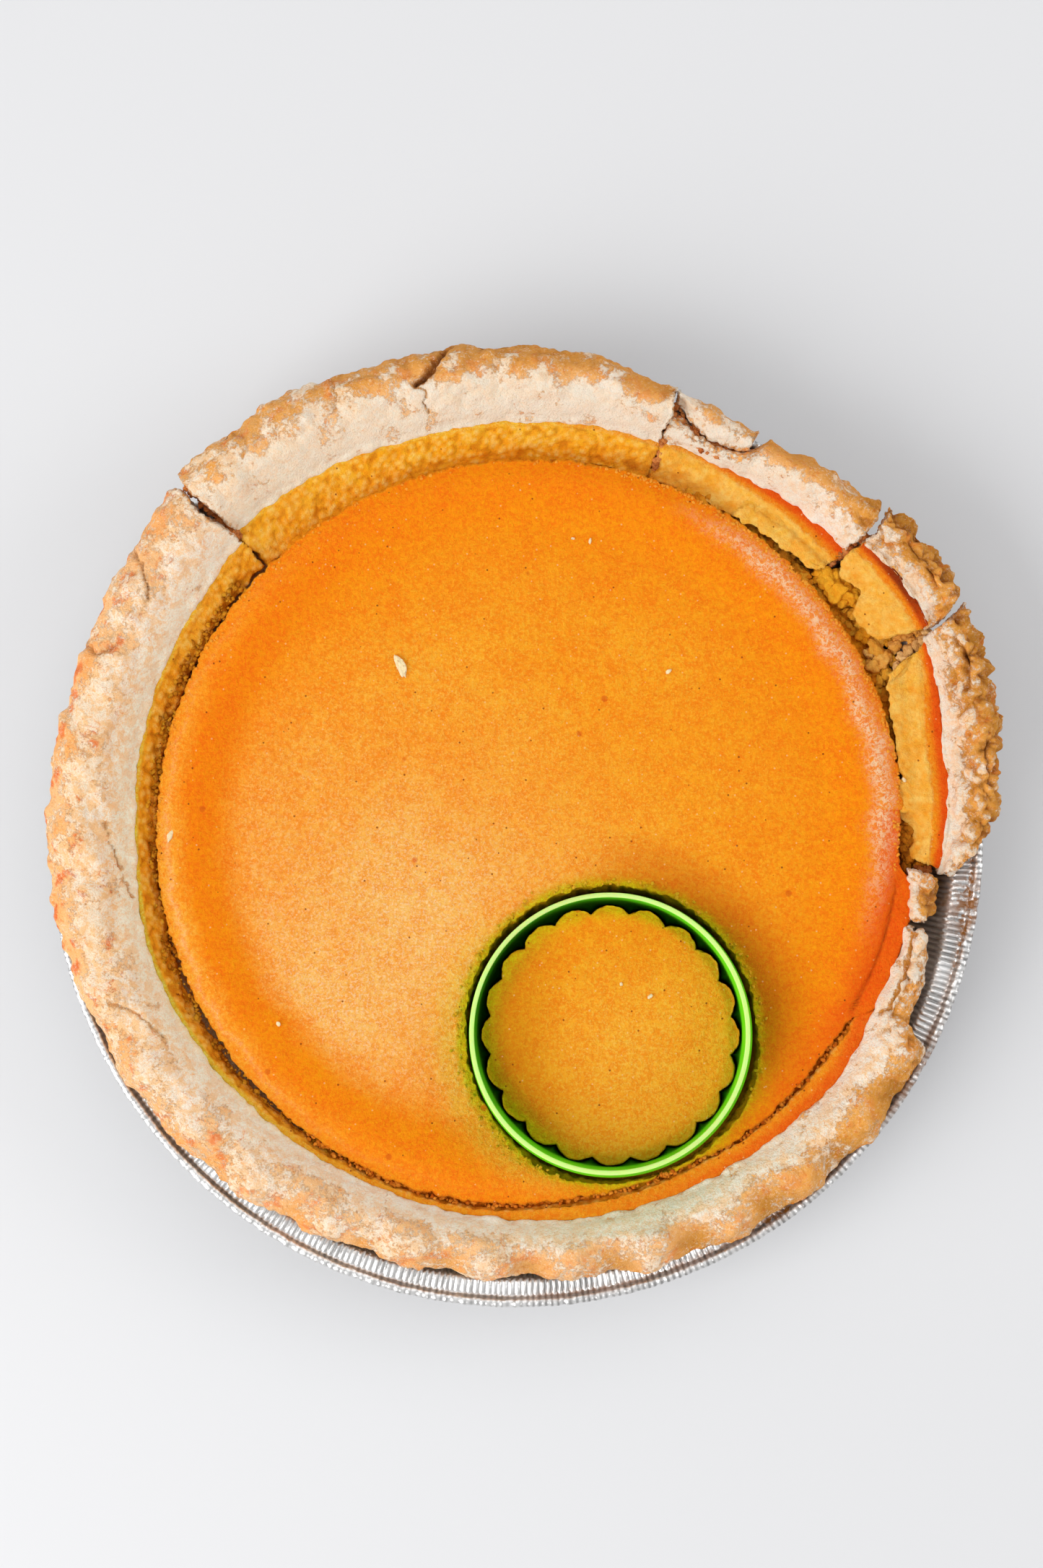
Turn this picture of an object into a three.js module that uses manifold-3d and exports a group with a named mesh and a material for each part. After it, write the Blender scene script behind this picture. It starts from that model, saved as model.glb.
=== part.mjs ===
// A baked pumpkin pie in its pleated foil pan, broken along the right side of its rim, with a round
// two-sided cutter standing in the filling. Millimetres, +Z up, origin under the middle of the pan.
// Angles are in degrees, counter-clockwise from +X as seen from above.
import * as THREE from "three";
import { mergeVertices } from "three/addons/utils/BufferGeometryUtils.js";
import Module from "manifold-3d";

const wasm = await Module();
wasm.setup();

// ---- driving dimensions ----------------------------------------------------------------------

const GAP = 0.4; // between pieces that lie against each other

const PAN = {
  baseRadius: 90,
  footRadius: 93, // where the wall starts, above the rounded corner
  wallRadius: 114.3, // where the wall meets the flange
  flangeRadius: 119.2,
  rimRadius: 122,
  cornerHeight: 1.8,
  flangeHeight: 27,
  rimHeight: 28.4,
  foil: 0.6,
  pleats: 38,
  pleatDepth: 0.55,
};

const PIE = new THREE.Vector3(2.4, 8.5, 0); // the pie has slid this far from the pan's middle

const DISH = { x: 0, y: -3.5, baseRadius: 85.5, slope: 0.8, wall: 4.2, floor: 4.4, height: 22 };

const FILLING = {
  x: 1.1, // middle of the round slab, from the middle of the pie
  y: -6.3,
  radius: 97.6,
  bottom: 4.8,
  step: 22.6, // where the slab overhangs the lower crust's wall
  shoulder: 27.2,
  crownRise: 2,
  top: 28,
};

const CUTTER = {
  x: 22,
  y: -58.8,
  z: 28,
  tilt: 9,
  leansTo: 113,
  lobes: 20,
  fit: 0.95, // between its fluted wall and the round
  wall: 1.1,
  top: 7.5,
  bottom: -16.5,
  rimRadius: 36.3,
  beltRadius: 37.5,
  holeRadius: 38.6,
};

const ROUND = { peak: 33.8, valley: 31.7, x: 0.2, y: -0.5 }; // it sits a little off the cutter's axis

const FLUTE = { pitch: 10.35, at: 281 }; // finger crimps along the rim

// ---- small maths -----------------------------------------------------------------------------

const radians = (degrees) => (degrees * Math.PI) / 180;
const mix = (a, b, t) => a + (b - a) * t;
const ease = (from, to, x) => THREE.MathUtils.smoothstep(x, from, to);

// A smooth curve through hand-set [position, value] knots, level beyond its ends.
function through(knots) {
  const slope = (i) => {
    const before = knots[Math.max(i - 1, 0)];
    const after = knots[Math.min(i + 1, knots.length - 1)];
    return (after[1] - before[1]) / (after[0] - before[0]);
  };
  return (x) => {
    if (x <= knots[0][0]) return knots[0][1];
    const i = knots.findIndex(([at]) => at >= x) - 1;
    if (i < 0) return knots[knots.length - 1][1];
    const [x0, y0] = knots[i];
    const [x1, y1] = knots[i + 1];
    const span = x1 - x0;
    const t = (x - x0) / span;
    const rise = slope(i) * span * t * (1 - t) ** 2 - slope(i + 1) * span * t * t * (1 - t);
    return mix(y0, y1, t * t * (3 - 2 * t)) + rise;
  };
}

// Distance from the middle of the pie to a circle that isn't centred on it.
function circleEdge({ x, y }, radius) {
  return (angle) => {
    const along = x * Math.cos(radians(angle)) + y * Math.sin(radians(angle));
    const across = x * Math.sin(radians(angle)) - y * Math.cos(radians(angle));
    return along + Math.sqrt(radius * radius - across * across);
  };
}

// Even, repeatable unevenness between -1 and 1.
const waver = (x, seed) =>
  0.5 * Math.sin(x * 1.7 + seed) + 0.3 * Math.sin(x * 3.1 + seed * 2.3) + 0.2 * Math.sin(x * 5.9 + seed * 5.1);

// ---- closed surfaces -------------------------------------------------------------------------

function geometry(points, triangles) {
  const made = new THREE.BufferGeometry();
  made.setAttribute("position", new THREE.Float32BufferAttribute(points.flat(), 3));
  made.setIndex(triangles);
  return made;
}

// A solid turned about the Z axis. rows(angle) lists [radius, height] from the foot of the axis,
// round the outside, to its top; with ring = true it's a loop that never meets the axis.
function turned(segments, rows, ring = false) {
  const points = [];
  const triangles = [];
  const outline = (i) => rows((i / segments) * 360);
  const count = outline(0).length;
  const body = ring ? count : count - 2;
  for (let i = 0; i < segments; i++) {
    const turn = radians((i / segments) * 360);
    const section = ring ? outline(i) : outline(i).slice(1, -1);
    for (const [r, z] of section) points.push([r * Math.cos(turn), r * Math.sin(turn), z]);
  }
  const at = (i, j) => (i % segments) * body + (j % body);
  for (let i = 0; i < segments; i++) {
    for (let j = 0; j < (ring ? body : body - 1); j++) {
      triangles.push(at(i, j), at(i + 1, j), at(i + 1, j + 1), at(i, j), at(i + 1, j + 1), at(i, j + 1));
    }
  }
  if (!ring) {
    const foot = points.push([0, 0, outline(0)[0][1]]) - 1;
    const head = points.push([0, 0, outline(0)[count - 1][1]]) - 1;
    for (let i = 0; i < segments; i++) {
      triangles.push(foot, at(i + 1, 0), at(i, 0), head, at(i, body - 1), at(i + 1, body - 1));
    }
  }
  return geometry(points, triangles);
}

// A bent bar. section(angle) lists matched points of its face and back, [[faceRadius, faceHeight],
// [backRadius, backHeight]], from its inner to its outer edge. start and end give the angle of each
// end at a radius, so that an end can follow a crack.
function bar(steps, start, end, section) {
  const points = [];
  const triangles = [];
  const middle = (t) => mix(start(0.5), end(0.5), t);
  const count = section(middle(0)).length;
  const at = (i, j, side) => (i * count + j) * 2 + side;
  for (let i = 0; i <= steps; i++) {
    const t = i / steps;
    section(middle(t)).forEach((pair, j) => {
      const share = j / (count - 1);
      const turn = radians(mix(start(share), end(share), t));
      for (const [r, z] of pair) points.push([r * Math.cos(turn), r * Math.sin(turn), z]);
    });
  }
  const quad = (a, b, c, d) => triangles.push(a, b, c, a, c, d);
  for (let i = 0; i < steps; i++) {
    for (let j = 0; j < count - 1; j++) {
      quad(at(i, j, 0), at(i, j + 1, 0), at(i + 1, j + 1, 0), at(i + 1, j, 0));
      quad(at(i, j, 1), at(i + 1, j, 1), at(i + 1, j + 1, 1), at(i, j + 1, 1));
    }
    quad(at(i, 0, 0), at(i + 1, 0, 0), at(i + 1, 0, 1), at(i, 0, 1));
    quad(at(i, count - 1, 0), at(i, count - 1, 1), at(i + 1, count - 1, 1), at(i + 1, count - 1, 0));
  }
  for (let j = 0; j < count - 1; j++) {
    quad(at(0, j, 0), at(0, j, 1), at(0, j + 1, 1), at(0, j + 1, 0));
    quad(at(steps, j, 0), at(steps, j + 1, 0), at(steps, j + 1, 1), at(steps, j, 1));
  }
  return geometry(points, triangles);
}

// ---- joining and cutting ---------------------------------------------------------------------

function solid(from) {
  const merged = mergeVertices(from, 1e-4);
  const vertProperties = new Float32Array(merged.attributes.position.array);
  return new wasm.Manifold(new wasm.Mesh({ numProp: 3, vertProperties, triVerts: merged.index.array }));
}

function surface(from) {
  const { vertProperties, triVerts } = from.getMesh();
  const made = new THREE.BufferGeometry();
  made.setAttribute("position", new THREE.BufferAttribute(vertProperties, 3));
  made.setIndex(new THREE.BufferAttribute(triVerts, 1));
  return made;
}

// ---- materials -------------------------------------------------------------------------------

const material = (color, roughness, metalness = 0) =>
  new THREE.MeshStandardMaterial({ color, roughness, metalness });
const foil = material(0xc9c9c9, 0.3, 1);
const pastry = material(0xe6c79a, 0.85);
const pumpkin = material(0xf59a2c, 0.55);
const greenPlastic = material(0x55b81e, 0.35);

function part(name, shape, look) {
  const mesh = new THREE.Mesh(shape, look);
  mesh.name = name;
  return mesh;
}

// ---- foil pan --------------------------------------------------------------------------------

const panSlope = (PAN.wallRadius - PAN.footRadius) / (PAN.flangeHeight - 0.8 - PAN.cornerHeight);

function foilPan() {
  const segments = PAN.pleats * 2;
  return turned(segments, (angle) => {
    const side = Math.round((angle / 360) * segments) % 2 ? 1 : -1;
    const pleat = (share) => side * PAN.pleatDepth * share;
    const wall = (height, outward) => [
      PAN.footRadius + panSlope * (height - PAN.cornerHeight) + outward + pleat(height / PAN.flangeHeight),
      height,
    ];
    const outside = PAN.foil * 1.2;
    return [
      [0, 0],
      [PAN.baseRadius, 0],
      [PAN.footRadius + outside, PAN.cornerHeight],
      wall(PAN.flangeHeight - 1.6, outside),
      [PAN.flangeRadius - 0.6, PAN.flangeHeight - PAN.foil + pleat(0.25)],
      [PAN.rimRadius - 1.4, PAN.flangeHeight - 1.4],
      [PAN.rimRadius, PAN.rimHeight - 1.2],
      [PAN.rimRadius - 1.1, PAN.rimHeight],
      [PAN.flangeRadius + 0.5, PAN.rimHeight - 0.4],
      [PAN.flangeRadius, PAN.flangeHeight + pleat(0.25)],
      wall(PAN.flangeHeight - 0.8, 0),
      [PAN.footRadius, PAN.cornerHeight],
      [PAN.baseRadius, PAN.foil],
      [0, PAN.foil],
    ];
  });
}

// Lowest height at which something may lie over the pan, at a place measured from the pie's middle.
function overPan(radius, angle) {
  const x = PIE.x + radius * Math.cos(radians(angle));
  const y = PIE.y + radius * Math.sin(radians(angle));
  const out = Math.hypot(x, y);
  if (out > PAN.rimRadius + 1) return 0;
  if (out > PAN.flangeRadius - 0.6) return PAN.rimHeight + GAP;
  if (out > PAN.wallRadius - 1.2) return PAN.flangeHeight + GAP + 0.2;
  return PAN.cornerHeight + (out - PAN.footRadius) / panSlope + 1.3;
}

// ---- pastry ----------------------------------------------------------------------------------

const dishOuter = circleEdge(DISH, DISH.baseRadius);

// Lower crust: the floor and the lower wall, which line the pan.
function dish() {
  return turned(48, (angle) => {
    const foot = dishOuter(angle);
    const crumble = 0.5 * waver(angle / 9, 2);
    const top = DISH.height - 0.8;
    return [
      [0, PAN.foil + GAP],
      [foot - 2, PAN.foil + GAP],
      [foot + DISH.slope * 2, 2.6],
      [foot + DISH.slope * top - 0.4, top + crumble],
      [foot + DISH.slope * top - DISH.wall + 0.3, top + crumble - 0.4],
      [foot - DISH.wall, DISH.floor],
      [0, DISH.floor],
    ];
  });
}

// How strongly the rim is crimped round the pie.
const crimping = through([[-10, 0.5], [40, 0.4], [137, 0.45], [190, 0.6], [240, 0.8], [275, 1.25], [320, 1.1]]);

// One run of the rim: wall foot, slope up from the filling, crest, and the lip over the pan's edge.
function rim({ steps, start, end, inner, outer, crest, foot }) {
  const [innerEdge, outerEdge, crestHeight] = [inner, outer, crest].map(through);
  return bar(steps, through(start), through(end), (angle) => {
    const crimp = 0.5 + 0.5 * Math.cos((radians(angle - FLUTE.at) * 360) / FLUTE.pitch);
    const strength = crimping(angle);
    const full = ease(6, 12, outerEdge(angle) - innerEdge(angle));
    const from = innerEdge(angle);
    const to = outerEdge(angle) + full * strength * (crimp - 0.4) * 1.6;
    const peak = crestHeight(angle) + full * 0.7 * waver(angle / 6, 1);
    const dent = full * strength * crimp * 2.2;
    const seat = 27.6 + 1.25 * ease(108, 111, to); // clears the pan's rim where the pastry overhangs it
    const rise = peak - FILLING.top;
    const across = (share) => mix(from, to, share);
    const top = (share, lift, dip) => [across(share), FILLING.top + rise * lift - dent * dip];
    const above = (radius, height) => [radius, Math.max(height, overPan(radius, angle))];
    const under = (share, lift = 0) => above(across(share), seat + lift);
    const sill = Math.max(foot, overPan(from + 2.6, angle));
    const knee = Math.max(26, sill + 0.3);
    const toe = from - DISH.slope * Math.max(26 - sill, 0);
    return [
      [[toe, sill], above(toe + 3.4, sill)],
      [[from, knee], above(from + 2.6, knee + 0.2)],
      [[from, Math.max(FILLING.top + 0.8, knee + 0.5)], above(Math.min(from + 4.4, across(0.3)), seat - 0.1)],
      [top(0.14, 0.4, 0), under(0.36)],
      [top(0.34, 0.8, 0.3), under(0.5)],
      [top(0.58, 1, 1), under(0.66)],
      [top(0.8, 0.86, 0.8), under(0.8)],
      [top(0.97, 0.42, 0.1), under(0.93, 0.1)],
      [top(1, 0.17, 0), under(0.985, 0.6)],
    ];
  });
}

const RIMS = {
  crust_shell: {
    steps: 56,
    start: [[0, 136.9], [0.35, 137.1], [0.6, 137.9], [0.8, 137.4], [1, 137.8]],
    end: [[0, 343.2], [0.4, 342.4], [0.7, 342.8], [1, 341.8]],
    inner: [[137, 101.7], [150, 100.7], [165, 101.4], [180, 101.8], [190, 102.8], [200, 104.8], [215, 105.7],
      [240, 105.8], [260, 106.7], [280, 107.8], [300, 107.7], [320, 107.3], [330, 104.8], [343, 103.6]],
    outer: [[137, 124.2], [145, 122.8], [155, 122.2], [165, 122.6], [180, 124.6], [195, 125.6], [210, 125.2],
      [230, 125.3], [245, 123.2], [260, 122.6], [275, 122.6], [290, 124.2], [305, 124.6], [315, 124],
      [322, 123.2], [328, 121.4], [329.3, 120], [330.6, 115], [335, 113.6], [340, 111.6], [343, 109.4]],
    crest: [[137, 38.4], [180, 38], [230, 37.6], [290, 37.2], [327, 36.4], [331, 34.6], [343, 33]],
    foot: 14,
  },
  crust_top: {
    steps: 18,
    start: [[0, 69.8], [0.3, 70.1], [0.5, 69.6], [0.8, 70.4], [1, 70.3]],
    end: [[0, 136.3], [0.4, 136.2], [0.7, 136.5], [1, 135.9]],
    inner: [[70, 101.6], [80, 101.3], [90, 100.9], [105, 100.7], [120, 102.7], [136, 104]],
    outer: [[70, 116], [75, 117.2], [83, 119.6], [90, 120.6], [100, 121.6], [110, 122.3], [122, 124.2], [136, 125.6]],
    crest: [[70, 37.6], [100, 38.2], [136, 38.6]],
    foot: 23,
  },
  crust_upper_right: {
    steps: 16,
    start: [[0, 38.9], [0.5, 39.2], [0.75, 39.8], [1, 40.4]],
    end: [[0, 69.2], [0.4, 69.5], [1, 69.1]],
    inner: [[39, 106.9], [45, 106.2], [50, 105.2], [55, 103.8], [60, 102.7], [69, 101.9]],
    outer: [[39, 121], [42, 120.1], [45, 119.1], [50, 117], [55, 115.6], [56.2, 115.2], [57.4, 110.2], [60, 107.4],
      [63.5, 106.7], [66.5, 108.2], [69, 110.2]],
    crest: [[39, 37.8], [55, 37.2], [57.6, 33.4], [69, 32.6]],
    foot: 23,
  },
  crust_chip: {
    steps: 8,
    start: [[0, 24.5], [0.3, 24.2], [0.6, 25.2], [1, 26.9]],
    end: [[0, 38.2], [0.4, 38.2], [0.7, 38.7], [1, 39.5]],
    inner: [[24, 114], [30, 113.9], [34, 112.9], [38, 111.4]],
    outer: [[24, 125.8], [28, 125.6], [33, 125], [38, 122.6]],
    crest: [[24, 38.2], [31, 39], [38, 37.8]],
    foot: 27.7,
  },
  crust_right: {
    steps: 16,
    start: [[0, -8.6], [0.3, -8.8], [0.6, -6.4], [0.8, -4.2], [1, -2.6]],
    end: [[0, 23], [0.3, 23.4], [0.6, 24], [1, 25]],
    inner: [[-9, 108.4], [0, 109.7], [10, 109.9], [15, 111], [22, 112.8]],
    outer: [[-9, 119], [-5, 122.2], [0, 123.6], [10, 125.2], [18, 125.8], [25, 126.4]],
    crest: [[-9, 36], [0, 38.2], [12, 39], [25, 38.4]],
    foot: 24.5,
  },
};

// A strip that has snapped off the rim and lies beside it.
function flake() {
  const inner = through([[57, 110.9], [60, 108], [63.5, 107.3], [66.5, 109], [69, 112.3]]);
  const outer = through([[57, 115.5], [60, 114.7], [65, 115.2], [69.6, 115.5]]);
  const ends = [() => 58.4, (share) => 69.3 + share * 0.5];
  return bar(8, ...ends, (angle) => {
    const across = (share) => mix(inner(angle), outer(angle), share);
    const lift = 0.5 * waver(angle / 2, 4);
    return [
      [[across(0), 31.5], [across(0.04), 30.4]],
      [[across(0.1), 34.3 + lift], [across(0.3), 28.95]],
      [[across(0.45), 36 + lift], [across(0.6), 28.95]],
      [[across(0.8), 34.6 + lift], [across(0.85), 28.95]],
      [[across(1), 31.2], [across(0.98), 29.6]],
    ];
  });
}

// A broken lump of rim at the foot of the right-hand piece.
const scrapInner = through([[343.8, 104.4], [346, 103.2], [349, 101.8], [351, 100.8]]);

function scrap() {
  const inner = scrapInner;
  const outer = through([[343.8, 108], [345.5, 109.8], [348, 110.6], [350, 109.4], [351, 107]]);
  const ends = [(share) => 343.9 + share * 0.4, (share) => 350.9 - share * 0.4];
  return bar(6, ...ends, (angle) => {
    const across = (share) => mix(inner(angle), outer(angle), share);
    const lift = 0.7 * waver(angle, 3);
    return [
      [[across(0), 27], [across(0.05), 23.2]],
      [[across(0.1), 30.4 + lift], [across(0.35), 23]],
      [[across(0.5), 32.4 + lift], [across(0.6), 23.6]],
      [[across(0.85), 30.2 + lift], [across(0.85), 25]],
      [[across(1), 27.6], [across(0.97), 26.4]],
    ];
  });
}

// ---- filling ---------------------------------------------------------------------------------

const slabCircle = circleEdge(FILLING, FILLING.radius);
const shellInner = through(RIMS.crust_shell.inner);

// Below the cutter the crack runs inside the slab's circle.
const drawnIn = through([[255, 0], [262, 0.2], [270, 1], [278, 1.7], [288, 1.8], [296, 1.6], [304, 1], [312, 1.1],
  [319, 1.8], [325, 1.2], [332, 1]]);
const slabEdge = (angle) => slabCircle(angle) - (angle > 255 ? drawnIn(angle) : 0);

// The slab still reaches the crust between these angles, and has shrunk away from it elsewhere.
const stillJoined = (angle) => ease(326, 331, angle) * (1 - ease(349, 352, angle));

// A ledge of filling that stays low in the gap where the right-hand pieces broke away.
const ledge = (angle) => ease(6, 10, angle) * (1 - ease(36, 39, angle));

function slab() {
  const edge = (angle) => {
    const round = slabEdge(angle) + 0.35 * waver(angle / 2.3, 6);
    const crust = mix(shellInner(angle), scrapInner(angle), ease(343, 345, angle));
    return mix(round, crust - GAP - 0.3, stillJoined(angle));
  };
  return turned(76, (angle) => {
    const to = edge(angle);
    const clear = angle > 137 ? shellInner(Math.min(angle, 343)) - 0.9 : Infinity;
    const inDish = (z) => dishOuter(angle) - DISH.wall + DISH.slope * (z - DISH.floor) - 0.5;
    const crown = (share) => {
      const puff = FILLING.crownRise * ease(0.55, 0.9, share) * (1 - ease(0.93, 1.02, share));
      return [to * share, FILLING.top + puff];
    };
    const low = Math.min(to, clear - DISH.slope * (26 - FILLING.step));
    return [
      [0, FILLING.bottom],
      [inDish(FILLING.bottom), FILLING.bottom],
      [inDish(DISH.height - 1.6), DISH.height - 1.6],
      [inDish(DISH.height - 1.6), FILLING.step],
      [low + 5.5 * ledge(angle), FILLING.step + 0.8],
      [Math.min(to, clear), 26],
      [to, FILLING.shoulder],
      crown(0.98),
      crown(0.92),
      crown(0.8),
      crown(0.6),
      [0, FILLING.top],
    ];
  });
}

// One run of the torn edge that stayed on the crust: baked skin on top, then the torn face down to
// the crack. torn is the radius where the face ends, skin the width of the baked skin.
function fillingEdge({ steps, start, end, inner, torn, skin, drop, lift = 0, seat }) {
  const [border, tornEdge, skinWidth, bottom] = [inner, torn, skin, seat].map(through);
  return bar(steps, through(start), through(end), (angle) => {
    const outer = border(angle) - GAP;
    const foot = Math.min(tornEdge(angle) + 0.25 * waver(angle / 2, 8), outer - 1.5);
    const skinEdge = Math.max(outer - skinWidth(angle), foot + 0.5);
    const level = FILLING.top + lift;
    const base = Math.max(bottom(angle), overPan(outer, angle));
    const back = (z) => outer - DISH.slope * Math.max(0, 26 - z);
    const face = (share) => mix(skinEdge, foot, share);
    const knee = Math.max(26, base + 0.4);
    return [
      [[foot, Math.max(level - drop, base + 0.8)], [foot + 0.4, base]],
      [[face(0.7), Math.max(level - drop * 0.62, base + 1)], [mix(foot, back(base), 0.45), base]],
      [[face(0.3), level - drop * 0.2], [back(base), base]],
      [[skinEdge, level + 0.2], [back((base + knee) / 2), (base + knee) / 2]],
      [[outer, level + 0.3], [outer, knee]],
    ];
  });
}

const EDGES = {
  filling_edge_left: {
    steps: 42,
    start: [[0, 137.4], [0.5, 136.9], [1, 136.9]],
    end: [[0, 325], [1, 325.4]],
    inner: RIMS.crust_shell.inner,
    torn: [[137, 94.5], [150, 94.8], [165, 96], [180, 97], [190, 98.6], [200, 100.3], [215, 102.4],
      [240, 103.7], [252, 104.5], [260, 104.8], [268, 104.4], [276, 103.7], [286, 103.4], [294, 103.4], [304, 103.7],
      [312, 103.2], [319, 102.2], [326, 102.1]],
    skin: [[137, 0.4], [190, 0.5], [230, 1], [262, 1.2], [276, 2.8], [290, 3.6], [320, 4.6]],
    seat: [[137, 23.2], [190, 23.2], [205, 24], [235, 24.8], [250, 24.9], [290, 24.4], [310, 23.2]],
    drop: 3.2,
  },
  filling_edge_top: {
    steps: 18,
    start: [[0, 70], [1, 69.8]],
    end: [[0, 136.7], [1, 136.3]],
    inner: RIMS.crust_top.inner,
    torn: [[70, 93.4], [90, 92.9], [110, 92.7], [125, 93.2], [137, 94.2]],
    skin: [[70, 2], [90, 1], [120, 0.4]],
    seat: [[70, 23.2], [136, 23.2]],
    drop: 4.6,
  },
  filling_edge_upper_right: {
    steps: 10,
    start: [[0, 39.4], [0.5, 38.9], [1, 38.8]],
    end: [[0, 69.6], [1, 69.2]],
    inner: RIMS.crust_upper_right.inner,
    torn: [[39, 98.6], [50, 95.6], [60, 94], [70, 93.4]],
    skin: [[39, 2.4], [55, 2], [69, 1]],
    seat: [[39, 23.2], [69, 23.2]],
    drop: 4.4,
    lift: 0.4,
  },
  filling_edge_chip: {
    steps: 8,
    start: [[0, 25.6], [0.4, 24.8], [1, 24.5]],
    end: [[0, 36.8], [0.3, 38], [1, 38]],
    inner: RIMS.crust_chip.inner,
    torn: [[25, 102.4], [28, 100.6], [31, 100], [33, 104.5], [35, 104.4], [37.6, 103.2]],
    skin: [[25, 1.6], [37, 2]],
    seat: [[25, 28.75], [37, 28.75]],
    drop: 3.4,
    lift: 4.6,
  },
  filling_edge_right: {
    steps: 12,
    start: [[0, -7.2], [1, -8.2]],
    end: [[0, 20.2], [0.5, 21.6], [1, 22.7]],
    inner: RIMS.crust_right.inner,
    torn: [[-8, 102.8], [-3, 102.2], [-1, 98.9], [5, 98.6], [10, 99.2], [17, 99.7], [20, 101.4]],
    skin: [[-8, 2], [18, 2.2]],
    seat: [[-8, 25], [17, 25]],
    drop: 3.4,
    lift: 1.4,
  },
};

// ---- cutter and the round that it cuts -------------------------------------------------------

const lean = new THREE.Vector3(-Math.sin(radians(CUTTER.leansTo)), Math.cos(radians(CUTTER.leansTo)), 0);
const cutterPose = new THREE.Matrix4()
  .makeRotationAxis(lean, radians(CUTTER.tilt))
  .setPosition(CUTTER.x, CUTTER.y, CUTTER.z);

const scallop = (angle) =>
  mix(ROUND.valley, ROUND.peak, Math.abs(Math.sin((radians(angle + 9) * CUTTER.lobes) / 2)) ** 0.8);

function cutter() {
  const { fit, wall, top, bottom, rimRadius, beltRadius } = CUTTER;
  return turned(CUTTER.lobes * 4, (angle) => {
    const fluted = scallop(angle) + fit;
    return [
      [fluted + wall, bottom],
      [fluted + wall, -9],
      [beltRadius - 0.3, -6.5],
      [beltRadius, -1],
      [rimRadius, top],
      [rimRadius - 1.1, top],
      [beltRadius - 1.6, -1],
      [fluted, -9],
      [fluted, bottom],
    ];
  }, true);
}

// The slot that the cutter has pressed round itself, from its edge up through the torn surface.
function slot(inside) {
  const { fit, wall, bottom, holeRadius } = CUTTER;
  const outside = ROUND.peak + fit + wall + GAP;
  return turned(40, (angle) => {
    const torn = holeRadius + 0.4 * waver(angle / 7, 5);
    return [[outside, bottom - GAP], [outside, -9 - GAP], [torn, -6.5 - GAP], [torn, 20], [inside, 20],
      [inside, bottom - GAP]];
  }, true);
}

// A column through the whole depth of the pie, on the axis of the round.
const column = (segments, radius) =>
  turned(segments, (angle) => [[0, -30], [radius(angle), -30], [radius(angle), 30], [0, 30]]).translate(
    ROUND.x,
    ROUND.y,
    0,
  );

// ---- assembly --------------------------------------------------------------------------------

const whole = new THREE.Group();
const pie = new THREE.Group();
pie.position.copy(PIE);
whole.add(part("foil_pan", foilPan(), foil), pie);

const placed = (shape) => solid(shape.applyMatrix4(cutterPose));
const groove = placed(slot(ROUND.valley - 0.9));
const shell = solid(dish()).add(solid(rim(RIMS.crust_shell))).subtract(groove);
pie.add(part("crust_shell", surface(shell), pastry));
for (const name of ["crust_top", "crust_upper_right", "crust_chip", "crust_right"]) {
  pie.add(part(name, rim(RIMS[name]), pastry));
}
pie.add(part("crust_flake", flake(), pastry), part("crust_scrap", scrap(), pastry));

const filling = solid(slab());
const hole = placed(column(40, () => ROUND.peak + GAP)).add(groove);
const round = placed(column(CUTTER.lobes * 4, scallop));
pie.add(part("filling_slab", surface(filling.subtract(hole)), pumpkin));
pie.add(part("filling_round", surface(filling.intersect(round)), pumpkin));
for (const [name, run] of Object.entries(EDGES)) pie.add(part(name, fillingEdge(run), pumpkin));

const tool = part("cutter", cutter(), greenPlastic);
tool.position.set(CUTTER.x, CUTTER.y, CUTTER.z);
tool.quaternion.setFromAxisAngle(lean, radians(CUTTER.tilt));
pie.add(tool);

export default whole;
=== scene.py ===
# Looks for the pumpkin pie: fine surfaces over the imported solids, materials, light and camera.
# Lengths in this file are millimetres until a mesh is made, and angles are degrees, counter-clockwise
# from +X as seen from above. Places on the pie are measured from its middle, PIE.
import math

import bmesh
import bpy
import numpy as np

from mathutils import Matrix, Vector


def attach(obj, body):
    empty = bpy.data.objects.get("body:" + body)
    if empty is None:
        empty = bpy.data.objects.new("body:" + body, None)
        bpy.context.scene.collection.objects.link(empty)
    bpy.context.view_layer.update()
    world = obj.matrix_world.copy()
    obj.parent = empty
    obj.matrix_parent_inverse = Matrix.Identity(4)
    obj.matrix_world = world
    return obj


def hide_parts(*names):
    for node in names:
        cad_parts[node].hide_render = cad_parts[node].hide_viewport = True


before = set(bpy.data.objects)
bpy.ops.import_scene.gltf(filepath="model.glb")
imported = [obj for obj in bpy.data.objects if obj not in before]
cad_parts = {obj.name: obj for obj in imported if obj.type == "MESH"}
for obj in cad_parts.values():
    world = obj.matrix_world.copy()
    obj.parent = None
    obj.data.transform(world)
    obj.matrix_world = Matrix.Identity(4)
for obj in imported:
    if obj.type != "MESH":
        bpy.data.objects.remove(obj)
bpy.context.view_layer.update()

MM = 0.001
PIE = np.array([2.4, 8.5, 0.0])
COARSER = 1

# The camera looks straight down, as the photograph does. Pixels are those of the photograph.
CAMERA_HEIGHT = 597
CAMERA_OVER = (1.3, 14.9)
LENS = 50
SENSOR = 36
PHOTO_SIZE = (1445, 2172)
FOCAL = LENS / SENSOR * PHOTO_SIZE[1]


# ---- small maths ------------------------------------------------------------------------------

def mix(a, b, t):
    return a + (b - a) * t


def ease(low, high, x):
    t = np.clip((x - low) / (high - low), 0, 1)
    return t * t * (3 - 2 * t)


def bell(x, middle, width):
    return np.exp(-(((x - middle) / width) ** 2))


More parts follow.
